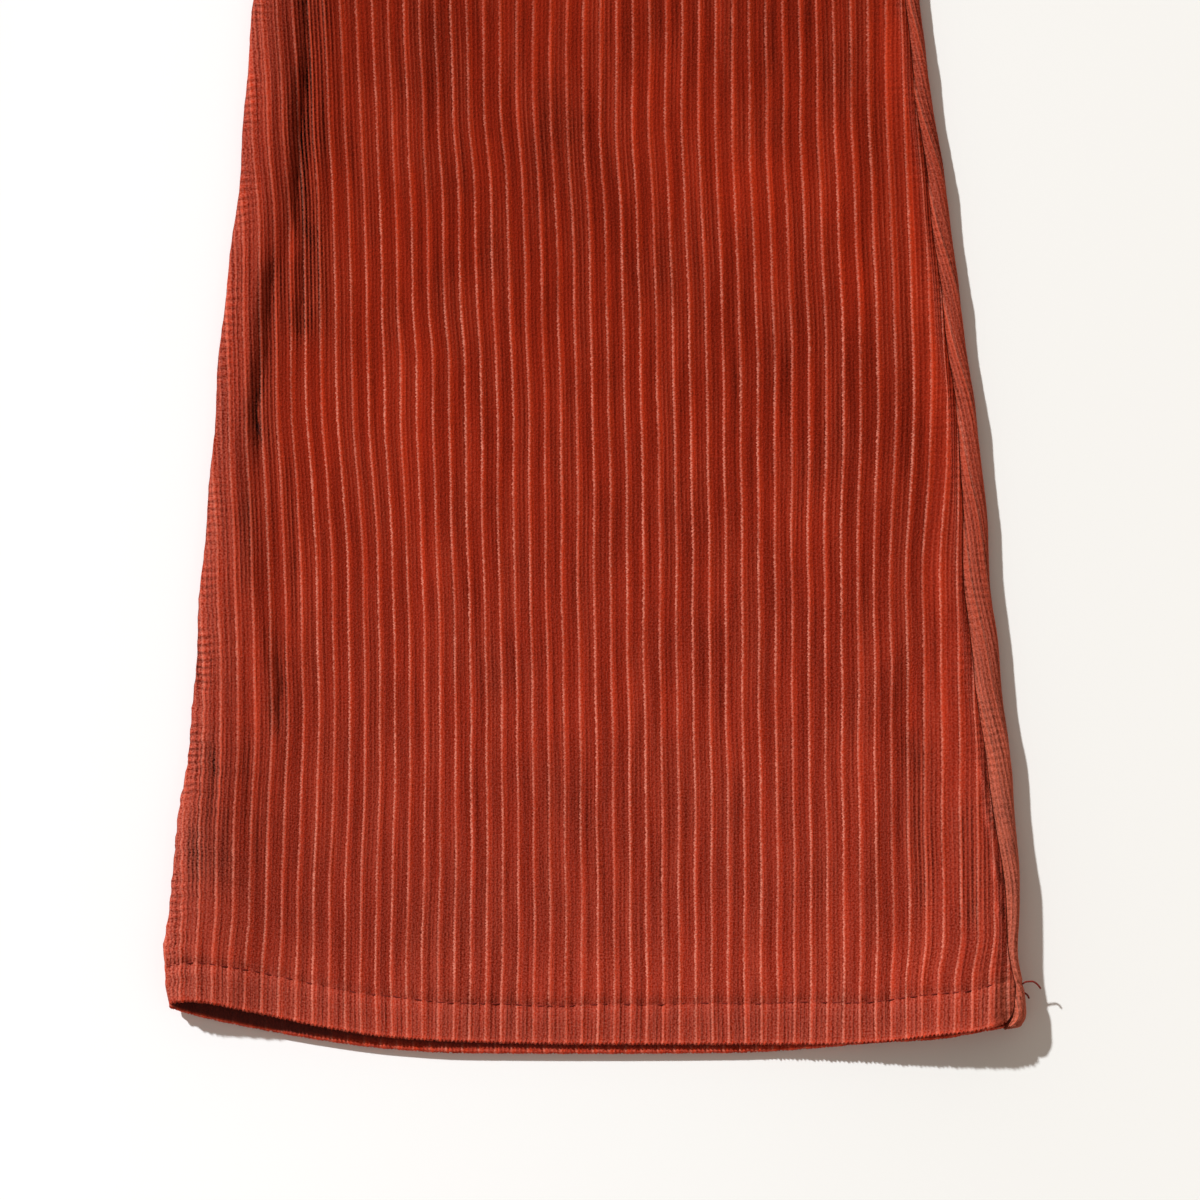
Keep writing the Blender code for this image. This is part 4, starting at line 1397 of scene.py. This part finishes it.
def corduroy():
    material, made, surface = newMaterial("rust_corduroy")
    look = corduroyLook
    cloth = made.node("SeparateXYZ", {}, {0: made.node("UVMap", {"uv_map": "cloth"})})
    across, along = cloth * 1000, cloth.also(1) * 1000
    tone, bloom, drawn, pucker, inside, deep, tan = [
        made.node("Attribute", {"attribute_name": name}, {}, 2)
        for name in ("tone", "bloom", "drawn", "pucker", "inside", "deep", "tan")
    ]
    noise = {name: clothNoise(made, across, along, sizes) for name, sizes in pileNoise.items()}
    fuzz, streak, broad, grain = [noise[name] for name in ("fuzz", "streak", "broad", "grain")]

    # the repeat, with painted light and shade across it, its bright line, partly a painted highlight, and its
    # fine ribs
    onRepeat = across + (noise["wander"] - 0.5) * 0.3 + (look["lead"] - wale["origin"])
    rib = onRepeat / wale["pitch"]
    phase = rib.maths("FRACT", rib + (noise["ragged"] - 0.5) * 0.9 / wale["pitch"])
    chance = made.node("TexWhiteNoise", {"noise_dimensions": "1D"}, {"W": rib.maths("FLOOR", rib)})
    base = made.node("ValToRGB", {"stops": look["stops"]}, {0: phase})
    strength = 0.34 + 0.34 * chance + 0.36 * noise["strong"].between(0.35, 0.65)
    strength = strength * (1 - 0.42 * along.between(190, 330)) + 0.15 * bloom
    # the bright line, partly a painted highlight on the pile tips and partly paler worn tips
    line = phase.between(0.100, 0.140) * (1 - phase.between(0.175, 0.275)) * strength
    line = line * (0.35 + 0.65 * noise["beads"].between(0.38, 0.60)) * (1 - 0.45 * drawn)
    turn = onRepeat * (8 * math.pi / wale["pitch"])
    ripple = turn.maths("COSINE", turn)
    crest = (ripple * 0.5 + 0.5) ** 2.0

    # loose fibres on the ribs, and the gathers beside a seam, which are bumped and also given painted light
    # and shade
    threads = crest * (streak + fuzz - 0.4)
    threads = threads * (0.06 + 0.30 * noise["threads"].between(0.44, 0.64) + 0.45 * drawn)
    waves = along * 2.3 + noise["bend"] * 8.0
    gathers = waves.maths("SINE", waves) * noise["gathered"].between(0.40, 0.58) * pucker

    # how light each place is, with painted light and shade on the fine ribs, the gathers and the creases,
    # then the colours laid over one another
    light = look["light"]
    for name, share in look["shades"].items():
        light = light + (noise[name] - 0.5) * share
    # tone brings in painted shade and highlights; ripple and gathers paint light on crests and shade between
    light = light + tone * 0.6 + ripple * (0.03 + 0.10 * drawn) + gathers * 0.20
    # painted shade in the grooves of a crease, its rib crests a little lighter
    light = light - deep * (0.44 - 0.50 * crest) * (0.5 + 1.0 * broad)
    shaded, faded = [
        made.node("HueSaturation", {}, {"Value": light, "Color": colour}) for colour in (base, look["faded"])
    ]
    fibrous = threads.maths("MAXIMUM", threads, 0.0).mixed(tan.mixed(shaded, faded), look["fibre"])
    # paler where the pile is worn and where a highlight is painted
    paleShare = bloom * (0.34 + 0.6 * (fuzz + streak - 1.0)) + (fuzz - 0.55) * (0.15 + 0.55 * bloom)
    paled = paleShare.maths("MAXIMUM", paleShare, 0.0).mixed(fibrous, look["bloom"])
    lined = line.mixed(paled, look["line"])
    back = grain.between(0.35, 0.65).mixed(look["inside"], look["insideThread"])
    height = ripple * (0.02 + 0.06 * drawn) + (grain - 0.5) * 0.20 + (fuzz - 0.5) * 0.08
    height = height + (streak - 0.5) * (0.25 + 0.3 * drawn) + gathers * 0.35
    bump = made.node("Bump", {}, {"Strength": 1.0, "Distance": 1.0 * mm, "Height": height})
    # the dark inside colour: the wrong side, and painted shade inside a hem
    cover(surface, inside.mixed(lined, back), 0.86 + (grain - 0.5) * 0.12, bump, look["plain"])
    return material


def threadFinish():
    material, made, surface = newMaterial("sewing_thread")
    spot = made.node("TexCoord", {}, {}, 3)
    twist = made.node("TexNoise", {}, {"Vector": spot, "Scale": 2600.0, "Detail": 2.0})
    colour = twist.between(0.3, 0.7).mixed(paint(96, 22, 14), paint(136, 42, 30))
    bump = made.node("Bump", {}, {"Strength": 0.6, "Distance": 0.1 * mm, "Height": twist})
    cover(surface, colour, 0.62 + twist * 0.2, bump, {"Specular IOR Level": 0.12})
    return material


def hornFinish():
    material, made, surface = newMaterial("button_horn")
    spot = made.node("TexCoord", {}, {}, 3)
    streak = made.node("TexNoise", {}, {"Vector": spot, "Scale": 170.0, "Detail": 5.0, "Distortion": 1.6})
    cloud = made.node("TexNoise", {}, {"Vector": spot, "Scale": 420.0, "Detail": 3.0})
    colour = streak.between(0.38, 0.66).mixed(paint(38, 20, 14), paint(104, 62, 40))
    colour = (cloud.between(0.55, 0.8) * 0.35).mixed(colour, paint(140, 96, 66))
    bump = made.node("Bump", {}, {"Strength": 0.25, "Distance": 0.1 * mm, "Height": cloud})
    cover(surface, colour, 0.26 + cloud * 0.16, bump, {"Coat Weight": 0.3, "Coat Roughness": 0.15})
    return material


# The table, the light and the camera
studio = {
    "floorSize": 14.0,
    # the table painted brighter at the left and dimmer at the right: painted light falling off across it
    "floorLeft": paint(255, 255, 255),
    "floorRight": paint(243, 242, 238),
    "floorRun": (-0.05, 0.36),
    "floorDrop": -0.0001,
    "sun": 4.15,
    "sunAngle": math.radians(2.4),
    "sunRun": (1.05, -1.0, -1.0),  # across the leg, up it, and down
    "sunColour": (0.96, 1.0, 1.03),
    "skyLow": (0.86, 0.75, 0.67, 1.0),
    "skyHigh": (0.295, 0.250, 0.218, 1.0),
    "centre": (1.94, 143.9),  # across and up the left leg
    "covers": 0.3888,
    "distance": 2.6,
}


def makeTable():
    bm = bmesh.new()
    bmesh.ops.create_grid(bm, x_segments=2, y_segments=2, size=studio["floorSize"] / 2)
    table = smoothPiece("table", bm)
    table.location.z = studio["floorDrop"]
    material, made, surface = newMaterial("pale_table")
    spot = made.node("SeparateXYZ", {}, {0: made.node("TexCoord", {}, {}, 3)})
    # painted light: brighter to the left, dimmer to the right
    colour = spot.between(*studio["floorRun"]).mixed(studio["floorLeft"], studio["floorRight"])
    plug(colour, surface, "Base Color")
    surface.inputs["Roughness"].default_value = 0.9
    surface.inputs["Specular IOR Level"].default_value = 0.1
    table.data.materials.append(material)


def makeLight():
    sin, cos, _ = legTilt()
    right, up, run = Vector((cos, sin, 0)), Vector((-sin, cos, 0)), studio["sunRun"]
    sunLight = bpy.data.lights.new("window", "SUN")
    sunLight.energy = studio["sun"]
    sunLight.angle = studio["sunAngle"]
    sunLight.color = studio["sunColour"]
    direction = right * run[0] + up * run[1] + Vector((0, 0, run[2]))
    added("window", sunLight).rotation_euler = direction.to_track_quat("-Z", "Y").to_euler()


def makeSky():
    world = bpy.data.worlds.new("room")
    world.use_nodes = True
    bpy.context.scene.world = world
    sky = Wire(world.node_tree)
    heightUp = sky.node("SeparateXYZ", {}, {0: sky.node("TexCoord")}, 2)
    glow = heightUp.between(0.0, 0.45).mixed(studio["skyLow"], studio["skyHigh"])
    background = world.node_tree.nodes["Background"]
    plug(glow, background, "Color")
    background.inputs["Strength"].default_value = 1.0


def makeCamera():
    # straight above, turned to lie square to the leg
    centre = place(studio["centre"][0], np.float64(studio["centre"][1]), 0.0, "front")
    lens = bpy.data.cameras.new("camera")
    lens.sensor_width = 36.0
    lens.lens = 36.0 * studio["distance"] / studio["covers"]
    lens.clip_end = 50.0
    camera = added("camera", lens)
    camera.location = (centre[0] * mm, (centre[1] - cut["middle"]) * mm, studio["distance"] + 0.005)
    camera.rotation_euler = (0.0, 0.0, cut["legTilt"])
    bpy.context.scene.camera = camera


def middleOfLength():
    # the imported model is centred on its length, which its button shows
    low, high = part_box("button")
    level = cut["waistSeam"] + cut["seamGap"] + cut["bandDepth"] / 2
    spot = place(acrossAt(-10.0, np.float64(level), "front"), np.float64(level), 0.0, "front")
    return float(spot[1]) - (low.y + high.y) / 2 / mm


def dress(piece, material, node=None):
    piece.data.materials.clear()
    piece.data.materials.append(material)
    if node:
        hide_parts(node)
    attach(piece, "root")


cut["middle"] = middleOfLength()
bpy.context.scene.view_settings.view_transform = "Standard"
makeCamera()
makeTable()
makeLight()
makeSky()
print("table, light and camera")

cordFinish = corduroy()
thread = threadFinish()
for hand, side, laps in (("left", 1, True), ("right", -1, False)):
    front = frontPanel(hand, side, laps)
    dress(front, cordFinish, f"front_{hand}")
    back = backPanel(hand, side)
    dress(back, cordFinish, f"back_{hand}")
    belt = waistbandHalf(hand, side, laps)
    dress(belt, cordFinish, f"waistband_{hand}")
    hem = hemStitches(hand, side, laps)
    dress(hem, thread)
    bandRows = bandStitches(hand, side, laps)
    dress(bandRows, thread)
    for piece in (front, back, belt, hem, bandRows):
        print(hand, piece.name, sum(len(face.vertices) - 2 for face in piece.data.polygons), "triangles")

dress(flyStitches(), thread)
dress(threadTails(), thread)
low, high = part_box("button")
buttonSpot = Vector(((low.x + high.x) / 2, (low.y + high.y) / 2, low.z))
dress(waistButton(buttonSpot), hornFinish(), "button")
dress(buttonThread(buttonSpot), thread)
print("sewing, thread ends and button")
